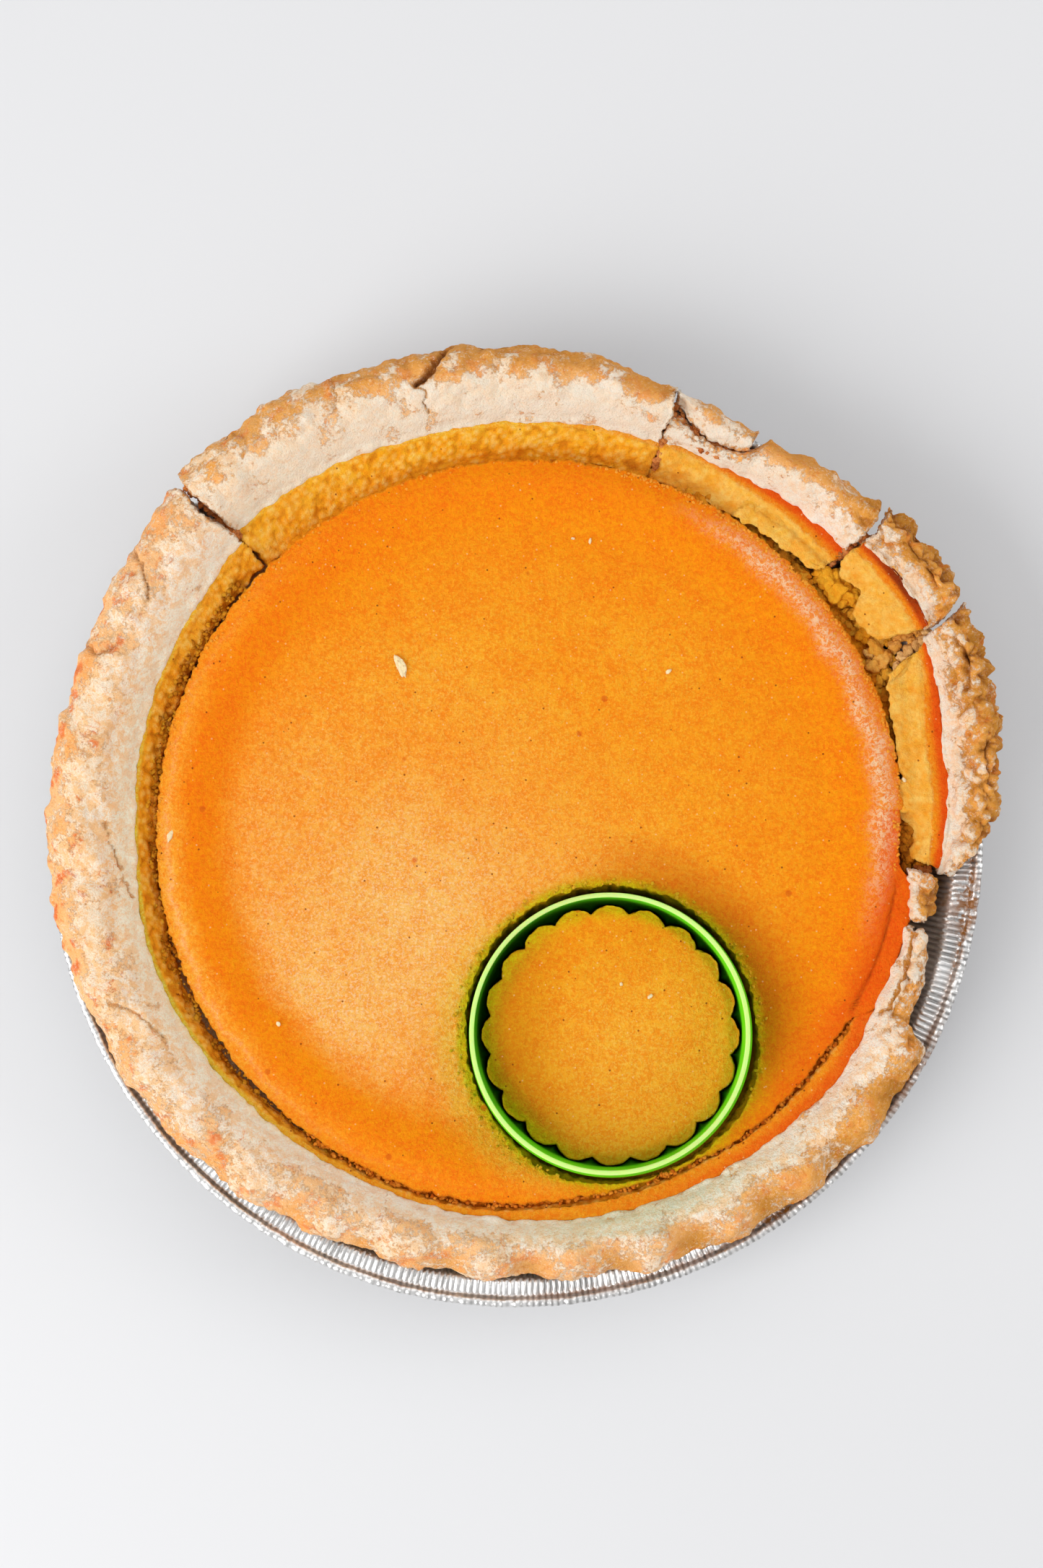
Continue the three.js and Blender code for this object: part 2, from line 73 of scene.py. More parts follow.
def glide(a, b, slope_a, slope_b, span, t):
    """A smooth step from a to b over a span, with given slopes at its two ends."""
    low = a * (1 + 2 * t) * (1 - t) ** 2 + slope_a * span * t * (1 - t) ** 2
    high = b * t * t * (3 - 2 * t) - slope_b * span * t * t * (1 - t)
    return low + high


def through(knots):
    """A smooth curve through given (position, value) knots, level beyond its ends."""
    xs = np.array([k[0] for k in knots], float)
    ys = np.array([k[1] for k in knots], float)
    before = np.maximum(np.arange(len(xs)) - 1, 0)
    after = np.minimum(np.arange(len(xs)) + 1, len(xs) - 1)
    slopes = (ys[after] - ys[before]) / (xs[after] - xs[before])

    def curve(x):
        x = np.clip(np.asarray(x, float), xs[0], xs[-1])
        i = np.clip(np.searchsorted(xs, x) - 1, 0, len(xs) - 2)
        span = xs[i + 1] - xs[i]
        return glide(ys[i], ys[i + 1], slopes[i], slopes[i + 1], span, (x - xs[i]) / span)

    return curve


def circle_edge(x, y, radius):
    """Distance from the middle of the pie to a circle that isn't centred on it."""

    def edge(angle):
        c = np.cos(np.radians(angle))
        s = np.sin(np.radians(angle))
        return x * c + y * s + np.sqrt(radius ** 2 - (x * s - y * c) ** 2)

    return edge


def on_pie(radius, angle, height=0):
    """Points at a radius and angle about the middle of the pie."""
    turn = np.radians(angle)
    x, y = PIE[0] + radius * np.cos(turn), PIE[1] + radius * np.sin(turn)
    return np.stack([x, y, height + 0 * turn], axis=-1)


def round_the_pie(angle, radius=100):
    """Points on a level circle, where noise is read for an outline."""
    turn = np.radians(angle)
    return np.stack([np.cos(turn) * radius, np.sin(turn) * radius, 0 * turn], axis=1)


def across_zero(angle):
    """Angles just short of a full turn as small negative ones, for runs that cross 0."""
    return np.where(angle > 350, angle - 360, angle)


def polar(points):
    """Radius and angle of points about the middle of the pie."""
    x = points[:, 0] - PIE[0]
    y = points[:, 1] - PIE[1]
    return np.hypot(x, y), np.degrees(np.arctan2(y, x)) % 360


# ---- noise ------------------------------------------------------------------------------------

random = np.random.default_rng(11)
SHUFFLE = random.permutation(256)
ARROWS = random.normal(size=(256, 3))
ARROWS /= np.linalg.norm(ARROWS, axis=1)[:, None]
DOTS = random.random((256, 3))


def shuffled(cell):
    h = SHUFFLE[cell[:, 0] & 255]
    h = SHUFFLE[(h + cell[:, 1]) & 255]
    return SHUFFLE[(h + cell[:, 2]) & 255]


def noise(points, size, seed=0):
    """Smooth noise, about -1 to 1, with features of the given size."""
    q = points / size + 31.7 * seed + 0.137
    cell = np.floor(q).astype(int)
    f = q - cell
    w = f * f * f * (f * (f * 6 - 15) + 10)
    total = np.zeros(len(points))
    for corner in np.ndindex(2, 2, 2):
        step = np.array(corner)
        share = np.prod(np.where(step, w, 1 - w), axis=1)
        total += share * np.einsum("ij,ij->i", ARROWS[shuffled(cell + step)], f - step)
    return total * 1.7


def fractal(points, size, octaves=3, seed=0, fall=0.5):
    return sum(fall ** k * noise(points, size / 2 ** k, seed + k) for k in range(octaves))


def billows(points, size, seed=0):
    """Swellings with sharp creases between them: 0 in the creases, about 0.5 on average."""
    return np.abs(noise(points, size, seed)) + 0.5 * np.abs(noise(points, size / 2.1, seed + 1))


def lumps(points, size, seed=0):
    """Rounded crumbs packed side by side: 1 on top of each, 0 in the creases."""
    q = points / size + 17.3 * seed + 0.371
    cell = np.floor(q).astype(int)
    near = np.full(len(points), 9.0)
    for corner in np.ndindex(3, 3, 3):
        home = cell + np.array(corner) - 1
        gap = home + DOTS[shuffled(home)] - q
        near = np.minimum(near, np.einsum("ij,ij->i", gap, gap))
    return np.clip(1 - near / 0.75, 0, 1)


# ---- meshes -----------------------------------------------------------------------------------

def face_normals(points, quads):
    a, b, c, d = (points[quads[:, k]] for k in range(4))
    return np.cross(c - a, d - b)


def block(us, ss, ws, place):
    """The closed skin of a bent bar. place(u, s, w) gives points for parameters from 0 to 1."""
    nu, ns, nw = len(us), len(ss), len(ws)
    i, j, k = np.indices((nu, ns, nw))
    skin = (i == 0) | (i == nu - 1) | (j == 0) | (j == ns - 1) | (k == 0) | (k == nw - 1)
    index = np.full((nu, ns, nw), -1)
    index[skin] = np.arange(skin.sum())
    u, s, w = us[i[skin]], ss[j[skin]], ws[k[skin]]
    sides = [
        (index[:, :, -1], False), (index[:, :, 0], True),
        (index[:, 0, :], False), (index[:, -1, :], True),
        (index[0, :, :], True), (index[-1, :, :], False),
    ]
    quads = []
    for grid, turned in sides:
        corners = [grid[:-1, :-1], grid[1:, :-1], grid[1:, 1:], grid[:-1, 1:]]
        quad = np.stack([c.ravel() for c in corners], axis=1)
        quads.append(quad[:, ::-1] if turned else quad)
    quads = np.concatenate(quads)
    points = place(u, s, w)
    a = points[quads[:, 0]]
    if np.einsum("ij,ij->i", face_normals(points, quads), a - points.mean(0)).sum() < 0:
        quads = quads[:, ::-1]
    return points, quads, dict(u=u, s=s)


def loop(count, rows, closed):
    """Quads of a surface turned about an axis: rows of count points, closed as a ring of rows or not."""
    index = np.arange(count * rows).reshape(count, rows)
    index = np.concatenate([index, index[:1]])
    if closed:
        index = np.concatenate([index, index[:, :1]], axis=1)
    corners = [index[:-1, :-1], index[1:, :-1], index[1:, 1:], index[:-1, 1:]]
    return np.stack([c.ravel() for c in corners], axis=1)


def turned_faces(count, rows):
    """Faces of an open turned shape, with a flat cap on its first row and its last."""
    first = np.arange(count) * rows
    return [list(q) for q in loop(count, rows, False)] + [list(first[::-1]), list(first + rows - 1)]


def mesh(name, points, faces, look, slot, smooth=True):
    data = bpy.data.meshes.new(name)
    data.from_pydata((points * MM).tolist(), [], [list(f) for f in faces])
    data.validate()
    data.update()
    data.shade_smooth() if smooth else data.shade_flat()
    made = bpy.data.objects.new(name, data)
    bpy.context.scene.collection.objects.link(made)
    data.materials.append(look)
    made["slot"] = slot
    return made


def spots(made):
    """A made mesh's points in millimetres, and their normals."""
    data = made.data
    points = np.empty(len(data.vertices) * 3)
    data.vertices.foreach_get("co", points)
    across = np.empty(len(data.vertices) * 3)
    data.vertex_normals.foreach_get("vector", across)
    return points.reshape(-1, 3) / MM, across.reshape(-1, 3)


def move(made, points):
    made.data.vertices.foreach_set("co", (points * MM).ravel())
    made.data.update()


def store(made, name, values):
    """Keeps a number or a colour for each point of a mesh, for its material to read."""
    values = np.asarray(values, float)
    if values.ndim == 1:
        made.data.attributes.new(name, "FLOAT", "POINT").data.foreach_set("value", values)
        return
    full = np.concatenate([values, np.ones((len(values), 1))], axis=1)
    made.data.attributes.new(name, "FLOAT_COLOR", "POINT").data.foreach_set("color", full.ravel())


def cut_away(made, tool):
    step = made.modifiers.new("cut", "BOOLEAN")
    step.operation = "DIFFERENCE"
    step.solver = "MANIFOLD"
    step.object = tool
    graph = bpy.context.evaluated_depsgraph_get()
    data = bpy.data.meshes.new_from_object(made.evaluated_get(graph))
    made.modifiers.clear()
    made.data = data
    data.shade_smooth()
    bpy.data.objects.remove(tool)


def keep(made, *nodes):
    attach(made, "root")
    if nodes:
        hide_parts(*nodes)


# ---- colours ----------------------------------------------------------------------------------

def color(red, green, blue):
    """A screen colour, 0 to 255, as the linear light that shaders use."""
    c = np.array([red, green, blue]) / 255
    return np.where(c <= 0.04045, c / 12.92, ((c + 0.055) / 1.055) ** 2.4)


def paint(base, *coats):
    """Lays coats of (colour, coverage) over a base colour, in order. Each coverage has one value a point."""
    result = base
    for tone, share in coats:
        result = result + (tone - result) * np.asarray(share)[:, None]
    return result


class Nodes:
    """Short names for wiring up one material."""

    def __init__(self, name):
        self.material = bpy.data.materials.new(name)
        self.material.use_nodes = True
        self.tree = self.material.node_tree
        self.shader = self.tree.nodes["Principled BSDF"]

    def add(self, kind, inputs=None, **settings):
        node = self.tree.nodes.new(kind)
        for key, value in settings.items():
            setattr(node, key, value)
        for key, value in (inputs or {}).items():
            self.plug(value, node.inputs[key])
        return node

    def plug(self, value, socket):
        if isinstance(value, bpy.types.NodeSocket):
            self.tree.links.new(value, socket)
        elif isinstance(value, (float, int)):
            socket.default_value = value
        else:
            value = tuple(value)
            socket.default_value = value + (1,) * (len(socket.default_value) - len(value))

    def where(self):
        return self.add("ShaderNodeTexCoord").outputs["Object"]

    def noise(self, size, detail=3, rough=0.55, warp=0.0):
        inputs = {"Vector": self.where(), "Scale": 1 / (size * MM), "Detail": float(detail),
                  "Roughness": rough, "Distortion": warp}
        return self.add("ShaderNodeTexNoise", inputs).outputs[0]

    def cells(self, size, feature="F1", randomness=1.0, vector=None):
        inputs = {"Vector": vector or self.where(), "Scale": 1 / (size * MM), "Randomness": randomness}
        return self.add("ShaderNodeTexVoronoi", inputs, feature=feature).outputs["Distance"]

    def warped(self, size, reach):
        """Places pushed about by noise, so that cell walls wander."""
        inputs = {"Vector": self.where(), "Scale": 1 / (size * MM), "Detail": 3.0}
        drift = self.add("ShaderNodeTexNoise", inputs)
        moved = self.add("ShaderNodeVectorMath", operation="MULTIPLY_ADD")
        self.plug(drift.outputs["Color"], moved.inputs[0])
        moved.inputs[1].default_value = (reach * MM,) * 3
        self.plug(self.where(), moved.inputs[2])
        return moved.outputs[0]

    def ramp(self, value, *stops):
        node = self.add("ShaderNodeMapRange", {"Value": value}, interpolation_type="SMOOTHSTEP")
        for key, number in zip(("From Min", "From Max", "To Min", "To Max"), stops):
            node.inputs[key].default_value = number
        return node.outputs[0]

    def math(self, operation, a, b=0.0):
        node = self.add("ShaderNodeMath", operation=operation)
        self.plug(a, node.inputs[0])
        self.plug(b, node.inputs[1])
        return node.outputs[0]

    def times(self, a, b):
        return self.math("MULTIPLY", a, b)

    def blend(self, share, under, over, mode="MIX"):
        node = self.add("ShaderNodeMix", data_type="RGBA", blend_type=mode)
        self.plug(share, node.inputs["Factor"])
        self.plug(under, node.inputs[6])
        self.plug(over, node.inputs[7])
        return node.outputs[2]

    def read(self, name, number=True):
        node = self.add("ShaderNodeAttribute", attribute_name=name)
        return node.outputs["Fac" if number else "Color"]

    def bump(self, height, depth, under=None):
        inputs = {"Height": height, "Distance": depth * MM, "Strength": 1.0}
        if under is not None:
            inputs["Normal"] = under
        return self.add("ShaderNodeBump", inputs).outputs[0]

    def finish(self, **sockets):
        for name, value in sockets.items():
            self.plug(value, self.shader.inputs[name.replace("_", " ")])
        return self.material


def pastry_look():
    n = Nodes("pastry")
    pale, ground = n.read("tint", number=False), n.read("ground", number=False)
    toast = n.read("toast")
    fine = n.times(n.math("SUBTRACT", n.noise(1.1, 6, 0.74, 0.3), 0.5), 3.2)
    coarse = n.times(n.math("SUBTRACT", n.noise(3.4, 5, 0.65, 0.9), 0.5), 2.2)
    edge = n.math("ADD", n.read("bare"), n.math("ADD", fine, coarse))
    soft, crisp = n.ramp(edge, -0.5, 0.55, 0.0, 1.0), n.ramp(edge, -0.02, 0.14, 0.0, 1.0)
    toasted = n.math("ADD", n.times(soft, 0.72), n.times(crisp, 0.28))
    freckle = n.times(n.ramp(n.noise(0.6, 4, 0.7), 0.54, 0.66, 0.0, 0.6), toast)
    veins = n.ramp(n.cells(3.8, "DISTANCE_TO_EDGE", 1.0, n.warped(2.4, 2.6)), 0.0, 0.04, 1.0, 0.0)
    veins = n.times(veins, n.ramp(n.noise(6.0, 3), 0.48, 0.6, 0.0, 0.85))
    toasted = n.math("MAXIMUM", n.math("MAXIMUM", toasted, freckle), n.times(veins, toast))
    blush = n.ramp(n.noise(2.6, 6, 0.72, 0.4), 0.44, 0.58, 0.0, 0.85)
    pale = n.blend(n.times(blush, toast), pale, color(250, 196, 134))
    sand = n.ramp(n.noise(0.5, 4, 0.75), 0.48, 0.6, 0.0, 0.45)
    pale = n.blend(n.times(sand, toast), pale, color(242, 186, 120))
    shade = n.blend(toasted, pale, ground)
    grains = n.ramp(n.noise(0.7, 5, 0.75), 0.52, 0.62, 0.0, 0.7)
    grains = n.times(grains, n.ramp(n.read("bare"), 0.4, 1.1, 1.0, 0.3))
    shade = n.blend(grains, shade, pale)
    scorch = n.times(n.ramp(n.noise(1.5, 5, 0.7), 0.54, 0.64, 0.0, 0.6), toasted)
    shade = n.blend(scorch, shade, n.blend(1.0, ground, color(238, 190, 140), "MULTIPLY"))
    waves = n.bump(n.noise(2.4, 5, 0.66), 0.6)
    plates = n.bump(n.math("SUBTRACT", 1.0, crisp), 0.14, waves)
    grit = n.bump(n.noise(0.6, 4, 0.75), 0.3, plates)
    return n.finish(Base_Color=shade, Roughness=0.8, Normal=grit, Specular_IOR_Level=0.2,
                    Subsurface_Weight=0.08, Subsurface_Radius=(0.9 * MM, 0.5 * MM, 0.3 * MM),
                    Subsurface_Scale=1.0)


def pumpkin_look():
    n = Nodes("pumpkin")
    tint = n.read("tint", number=False)
    skin, gloss = n.read("skin"), n.read("gloss")
    patchy = n.ramp(n.noise(7.0, 6, 0.72, 0.5), 0.43, 0.57, 0.0, 0.4)
    shade = n.blend(patchy, tint, n.blend(1.0, tint, color(253, 214, 110), "MULTIPLY"))
    deep = n.ramp(n.noise(1.3, 5, 0.75), 0.45, 0.56, 0.0, 0.55)
    deep = n.times(deep, n.ramp(skin, 0.0, 1.0, 0.55, 1.0))
    shade = n.blend(deep, shade, n.blend(1.0, shade, color(248, 200, 90), "MULTIPLY"))
    grain = n.ramp(n.noise(0.7, 4, 0.8), 0.5, 0.59, 0.0, 0.55)
    bright = n.times(grain, skin)
    shade = n.blend(bright, shade, n.blend(1.0, tint, color(255, 222, 140), "DIVIDE"))
    # Painted highlight: where gloss is set, the colour turns to a pinkish-white glint on top of the coat's
    # real gloss.
    glint = n.times(n.ramp(n.noise(1.1, 5, 0.8, 0.8), 0.47, 0.55, 0.05, 1.0), gloss)
    shade = n.blend(glint, shade, color(255, 204, 156))
    pale = n.ramp(n.cells(2.7), 0.06, 0.11, 0.5, 0.0)
    shade = n.blend(n.times(pale, skin), shade, color(255, 210, 150))
    rusty = n.ramp(n.cells(15.0), 0.04, 0.075, 0.65, 0.0)
    shade = n.blend(n.times(rusty, skin), shade, color(220, 86, 6))
    dark = n.ramp(n.cells(4.3), 0.045, 0.075, 0.85, 0.0)
    shade = n.blend(dark, shade, color(140, 56, 8))
    surface = n.bump(n.noise(1.4, 5, 0.75), 0.8)
    pores = n.bump(n.noise(0.45, 3, 0.7), 0.26, surface)
    return n.finish(Base_Color=shade, Roughness=0.55, Normal=pores, Specular_IOR_Level=0.1,
                    Coat_Weight=n.times(gloss, 0.6), Coat_Roughness=0.3,
                    Subsurface_Weight=0.1, Subsurface_Radius=(1.4 * MM, 0.6 * MM, 0.1 * MM),
                    Subsurface_Scale=1.0)


def foil_look():
    n = Nodes("foil")
    stain, valley = n.read("stain"), n.read("valley")
    patches = n.times(stain, n.ramp(n.noise(2.4, 5, 0.65, 0.6), 0.36, 0.56, 0.0, 1.0))
    # Painted shade: the metal darkens to grey where valley is set.
    metal_shade = n.blend(valley, color(246, 245, 243), color(150, 148, 146))
    shade = n.blend(patches, metal_shade, color(132, 80, 24))
    metal = n.math("SUBTRACT", 1.0, n.times(patches, 0.9))
    creases = n.bump(n.noise(1.6, 4, 0.6, 0.5), 0.22)
    return n.finish(Base_Color=shade, Metallic=metal, Roughness=0.33, Normal=creases)


def plastic_look():
    n = Nodes("green_plastic")
    tint = n.read("tint", number=False)
    return n.finish(Base_Color=tint, Roughness=0.5, Specular_IOR_Level=0.1,
                    Subsurface_Weight=0.9, Subsurface_Radius=(1.0 * MM, 5.0 * MM, 0.3 * MM),
                    Subsurface_Scale=1.0)


PASTRY = pastry_look()
PUMPKIN = pumpkin_look()
FOIL = foil_look()
PLASTIC = plastic_look()


# ---- foil pan ---------------------------------------------------------------------------------

PLEATS = 468
PAN = dict(rim=122, top=28.6, foot=93, foot_height=1.8, slope=21.3 / 24.4)


def make_pan():
    count = PLEATS * 6
    angle = np.arange(count) * 360 / count
    turn = np.radians(angle)
    around = round_the_pie(angle, PAN["rim"])
    uneven = 0.6 * noise(around, 5, 1) + 0.4 * noise(around, 2.1, 2)
    pleat = np.sin(turn * PLEATS + 2.4 * uneven)
    fold = np.sign(pleat) * np.abs(pleat) ** 0.7 * (0.85 + 0.8 * noise(around, 4, 3))
    crinkle = noise(around, 1.7, 4) + 0.7 * noise(around, 0.8, 5)
    hem = noise(around, 3.1, 6)

    def wall(height, outward, depth):
        return PAN["foot"] + PAN["slope"] * (height - PAN["foot_height"]) + outward + fold * depth, height

    # From the bottom's underside, out and up the wall, over the rolled rim, and back in along the inside.
    rows = [
        (40, 0), (86, 0), (90, 0), (92.6, 0.5), (93.7 + 0.1 * fold, 1.8),
        wall(4, 0.6, 0.25), wall(14, 0.6, 0.4), wall(24, 0.6, 0.45),
        (114.4 + 0.3 * fold, 25.7), (117, 26.1 + 0.28 * fold), (119.2, 26.2 + 0.2 * fold),
        (120.6 + 0.1 * crinkle, 26.6 + 0.15 * crinkle), (121.6 + 0.2 * crinkle, 27 + 0.1 * hem),
        (121.95 + 0.25 * crinkle, 27.6 + 0.15 * hem), (121.6 + 0.28 * crinkle, 28.2 + 0.2 * crinkle),
        (121 + 0.1 * hem, 28.4 + 0.25 * crinkle), (120.3 + 0.12 * hem, 28.3 + 0.22 * crinkle),
        (119.75 + 0.1 * hem, 27.9 + 0.1 * crinkle), (119.35 + 0.12 * hem, 27.2),
        (118.9 + 0.15 * hem, 26.85 + 0.1 * fold), (118.3, 27.05 + 0.3 * fold), (117, 27.1 + 0.38 * fold),
        (115.6, 27.0 + 0.35 * fold), (114.6 + 0.2 * fold, 26.7 + 0.2 * fold),
        wall(25.6, 0, 0.5), wall(23, 0, 0.52), wall(19, 0, 0.5), wall(15, 0, 0.48), wall(11, 0, 0.42),
        wall(7, 0, 0.35), wall(4, 0, 0.25), (93 + 0.1 * fold, 1.9), (92, 1),
        (89.6, 0.6), (86, 0.6), (40, 0.6),
    ]
    radius = np.minimum(np.stack([r + 0 * turn for r, _ in rows], axis=1), PAN["rim"])
    height = np.clip(np.stack([z + 0 * turn for _, z in rows], axis=1), 0, PAN["top"])
    flat = [radius * np.cos(turn)[:, None], radius * np.sin(turn)[:, None], height]
    points = np.stack(flat, axis=2).reshape(-1, 3)
    made = mesh("pan", points, turned_faces(count, len(rows)), FOIL, "foil")
    dress_pan(made, np.repeat(fold, len(rows)), np.repeat(noise(around, 4.2, 9), len(rows)))
    return made


def dress_pan(made, fold, patches):
    """Stains of juice in the groove and on the wall, and painted shade in the valleys between pleats."""
    points, _ = spots(made)
    out = np.hypot(points[:, 0], points[:, 1])
    angle = np.degrees(np.arctan2(points[:, 1], points[:, 0])) % 360
    groove = bell(out, 119.2, 0.9) * (points[:, 2] > 26.4) * 0.95
    groove *= (0.45 + 0.55 * ease(-0.2, 0.3, noise(points, 30, 8))) * (1 - 0.85 * bell(angle, 228, 42))
    drips = bell(angle, 341, 9) * ease(90, 104, out) * ease(118, 112, out) * 0.5
    drips += bell(angle, 352, 3.5) * ease(112, 118, out) * 0.95
    drips += bell(angle, 329, 7) * bell(out, 121, 2.2) * 0.8
    drips += bell(angle, 309, 9) * bell(out, 119, 1.6) * 0.7
    store(made, "stain", np.clip(groove + drips * (points[:, 2] > 3), 0, 1))
    # Painted shade in the valleys between pleats, in patches, and weaker at the lower left, where the light
    # falls.
    valley = np.clip(0.25 - 0.75 * fold, 0, 1) + 0.3 * np.clip(patches, 0, 1)
    valley = valley * (1 - 0.6 * bell(angle, 235, 45))
    store(made, "valley", np.clip(valley * ease(92, 95, out), 0, 0.95))


# ---- pastry -----------------------------------------------------------------------------------

SLOPE = 0.8  # how much what lines the pan spreads out for each millimetre of height
FILLING_TOP = 28
DISH_FLOOR = 4.4
DISH_WALL = 4.2
dish_outer = circle_edge(0, -3.5, 85.5)

# How strongly the rim is crimped round the pie, and how toasted and how lumpy it is.
crimping = through([
    (-10, 0.5), (40, 0.4), (137, 0.45), (190, 0.6), (240, 0.8), (275, 1.25), (320, 1.1), (350, 0.5)])
toasting = through([
    (-10, 0.95), (24, 1), (38, 0.9), (60, 0.62), (100, 0.6), (137, 0.55), (160, 0.45), (200, 0.42),
    (250, 0.48), (275, 0.62), (300, 0.8), (320, 0.9), (343, 0.9), (360, 0.95)])
lumpiness = through([
    (-10, 1), (24, 1), (38, 0.9), (45, 0.35), (70, 0.45), (100, 0.5), (137, 0.4), (230, 0.3),
    (300, 0.45), (327, 0.6), (331, 1), (343, 1)])

# Runs of crust. Each has its two ends as (share across, angle), the runs of its inner and outer edge and of
# its crest's height, the height of its foot, and how far it is lifted.
RIMS = {
    "crust_shell": dict(
        start=[(0, 136.9), (0.35, 137.1), (0.6, 137.9), (0.8, 137.4), (1, 137.8)],
        end=[(0, 343.2), (0.4, 342.4), (0.7, 342.8), (1, 341.8)],
        inner=[(137, 101.7), (150, 100.7), (165, 101.4), (180, 101.8), (190, 102.8), (200, 104.8),
               (215, 105.7), (240, 105.8), (260, 106.7), (280, 107.8), (300, 107.7), (320, 107.3),
               (330, 104.8), (343, 103.6)],
        outer=[(137, 124.2), (145, 122.8), (155, 122.2), (165, 122.6), (180, 124.6), (195, 125.6),
               (210, 125.2), (230, 125.3), (245, 123.2), (260, 122.6), (275, 122.6), (290, 124.2),
               (305, 124.6), (315, 124), (322, 123.2), (328, 121.4), (329.3, 120), (330.6, 115),
               (335, 113.6), (340, 111.6), (343, 109.4)],
        crest=[(137, 38.4), (180, 38), (230, 37.6), (290, 37.2), (327, 36.4), (331, 34.6), (343, 33)],
        foot=14),
    "crust_top": dict(
        start=[(0, 69.8), (0.3, 70.1), (0.5, 69.6), (0.8, 70.4), (1, 70.3)],
        end=[(0, 136.3), (0.4, 136.2), (0.7, 136.5), (1, 135.9)],
        inner=[(70, 101.6), (80, 101.3), (90, 100.9), (105, 100.7), (120, 102.7), (136, 104)],
        outer=[(70, 116), (75, 117.2), (83, 119.6), (90, 120.6), (100, 121.6), (110, 122.3), (122, 124.2),
               (136, 125.6)],
        crest=[(70, 37.6), (100, 38.2), (136, 38.6)],
        foot=23),
    "crust_upper_right": dict(
        start=[(0, 38.9), (0.5, 39.2), (0.75, 39.8), (1, 40.4)],
        end=[(0, 69.2), (0.4, 69.5), (1, 69.1)],
        inner=[(39, 106.9), (45, 106.2), (50, 105.2), (55, 103.8), (60, 102.7), (69, 101.9)],
        outer=[(39, 121), (42, 120.1), (45, 119.1), (50, 117), (55, 115.6), (56.2, 115.2), (57.4, 110.2),
               (60, 107.4), (63.5, 106.7), (66.5, 108.2), (69, 110.2)],
        crest=[(39, 37.8), (55, 37.2), (57.6, 33.4), (69, 32.6)],
        foot=23),
    "crust_chip": dict(
        start=[(0, 24.5), (0.3, 24.2), (0.6, 25.2), (1, 26.9)],
        end=[(0, 38.2), (0.4, 38.2), (0.7, 38.7), (1, 39.5)],
        inner=[(24, 114), (30, 113.9), (34, 112.9), (38, 111.4)],
        outer=[(24, 125.8), (28, 125.6), (33, 125), (38, 122.6)],
        crest=[(24, 38.2), (31, 39), (38, 37.8)],
        foot=27.7, lift=4.4),
    "crust_right": dict(
        start=[(0, -8.6), (0.3, -8.8), (0.6, -6.4), (0.8, -4.2), (1, -2.6)],
        end=[(0, 23), (0.3, 23.4), (0.6, 24), (1, 25)],
        inner=[(-9, 108.4), (0, 109.7), (10, 109.9), (15, 111), (22, 112.8)],
        outer=[(-9, 119), (-5, 122.2), (0, 123.6), (10, 125.2), (18, 125.8), (25, 126.4)],
        crest=[(-9, 36), (0, 38.2), (12, 39), (25, 38.4)],
        foot=24.5, lift=1.3),
}

# Cracks that don't part the pastry: (angle, radius) along each, half-width and depth.
CREVICES = [
    ([(99.6, 122), (100.4, 119.5), (101.6, 117), (102.6, 114.6), (104.6, 112.6)], 0.8, 3.4),
    ([(104.4, 111.8), (103.6, 109.6), (104.2, 107.4), (103.6, 105)], 0.25, 0.8),
    ([(114.8, 124), (114.4, 119), (115.6, 114)], 0.5, 0.5),
    ([(128, 125), (127, 120), (128.6, 116)], 0.5, 0.45),
    ([(146.8, 122), (147.6, 117), (149.6, 113), (151, 110.8)], 0.4, 1.0),
    ([(159.4, 123), (160.2, 118), (158.4, 113)], 0.5, 0.9),
    ([(182, 108.6), (185, 107.2), (189, 106), (193, 104.8)], 0.35, 0.8),
    ([(205, 118), (208, 113), (213, 110.5)], 0.35, 0.7),
    ([(330, 106.5), (334, 107.2), (338, 106.6), (342.5, 105.8)], 0.5, 1.1),
    ([(15, 117.5), (18, 119.5), (21, 119)], 0.5, 1.2),
    ([(3, 120), (6, 118.6), (8, 120.5)], 0.5, 1.2),
]


def over_pan(radius, angle):
    """Lowest height at which something may lie over the pan: its wall, flange or rolled rim."""
    place = on_pie(radius, angle)
    out = np.hypot(place[..., 0], place[..., 1])
    wall, flange, roll = 3.1 + (out - PAN["foot"]) / PAN["slope"], 27.65, 28.85
    high = np.where(out > 118.6, roll, flange)
    high = np.where(out > 123, 0, high)
    return np.where(out > 113.1, high, wall)


def smooth_rows(columns, at):
    """Matched points of a section, eased into a smooth curve and read off at shares from 0 to 1."""
    knots = np.linspace(0, 1, len(columns))
    slopes = np.gradient(columns, knots, axis=0)
    i = np.clip(np.searchsorted(knots, at) - 1, 0, len(knots) - 2)
    span = (knots[i + 1] - knots[i])[:, None]
    t = ((at - knots[i]) / span[:, 0])[:, None]
    return glide(columns[i], columns[i + 1], slopes[i], slopes[i + 1], span, t)


def bent(us, ss, ws, start, end, section, seed=0, jag=0.16):
    """A bar bent round the pie. section(angle) gives its face and its back, and torn ends follow a crack."""
    start, end = through(start), through(end)
    middles = mix(start(0.5), end(0.5), us)
    face, back = section(middles)
    level = 0 * us
    face_r, face_z = (smooth_rows(np.array([f[k] + level for f in face]), ss) for k in (0, 1))
    back_r, back_z = (smooth_rows(np.array([b[k] + level for b in back]), ss) for k in (0, 1))

    def place(u, s, w):
        i = np.searchsorted(us, u)
        j = np.searchsorted(ss, s)
        r = mix(back_r[j, i], face_r[j, i], w)
        z = mix(back_z[j, i], face_z[j, i], w)
        ragged = np.stack([s * 28, w * 7, 0 * s + seed], axis=1)
        first = start(s) + jag * fractal(ragged, 3.0, 3, seed)
        last = end(s) + jag * fractal(ragged, 3.0, 3, seed + 5)
        return on_pie(r, mix(first, last, u), z)

    return block(us, ss, ws, place)


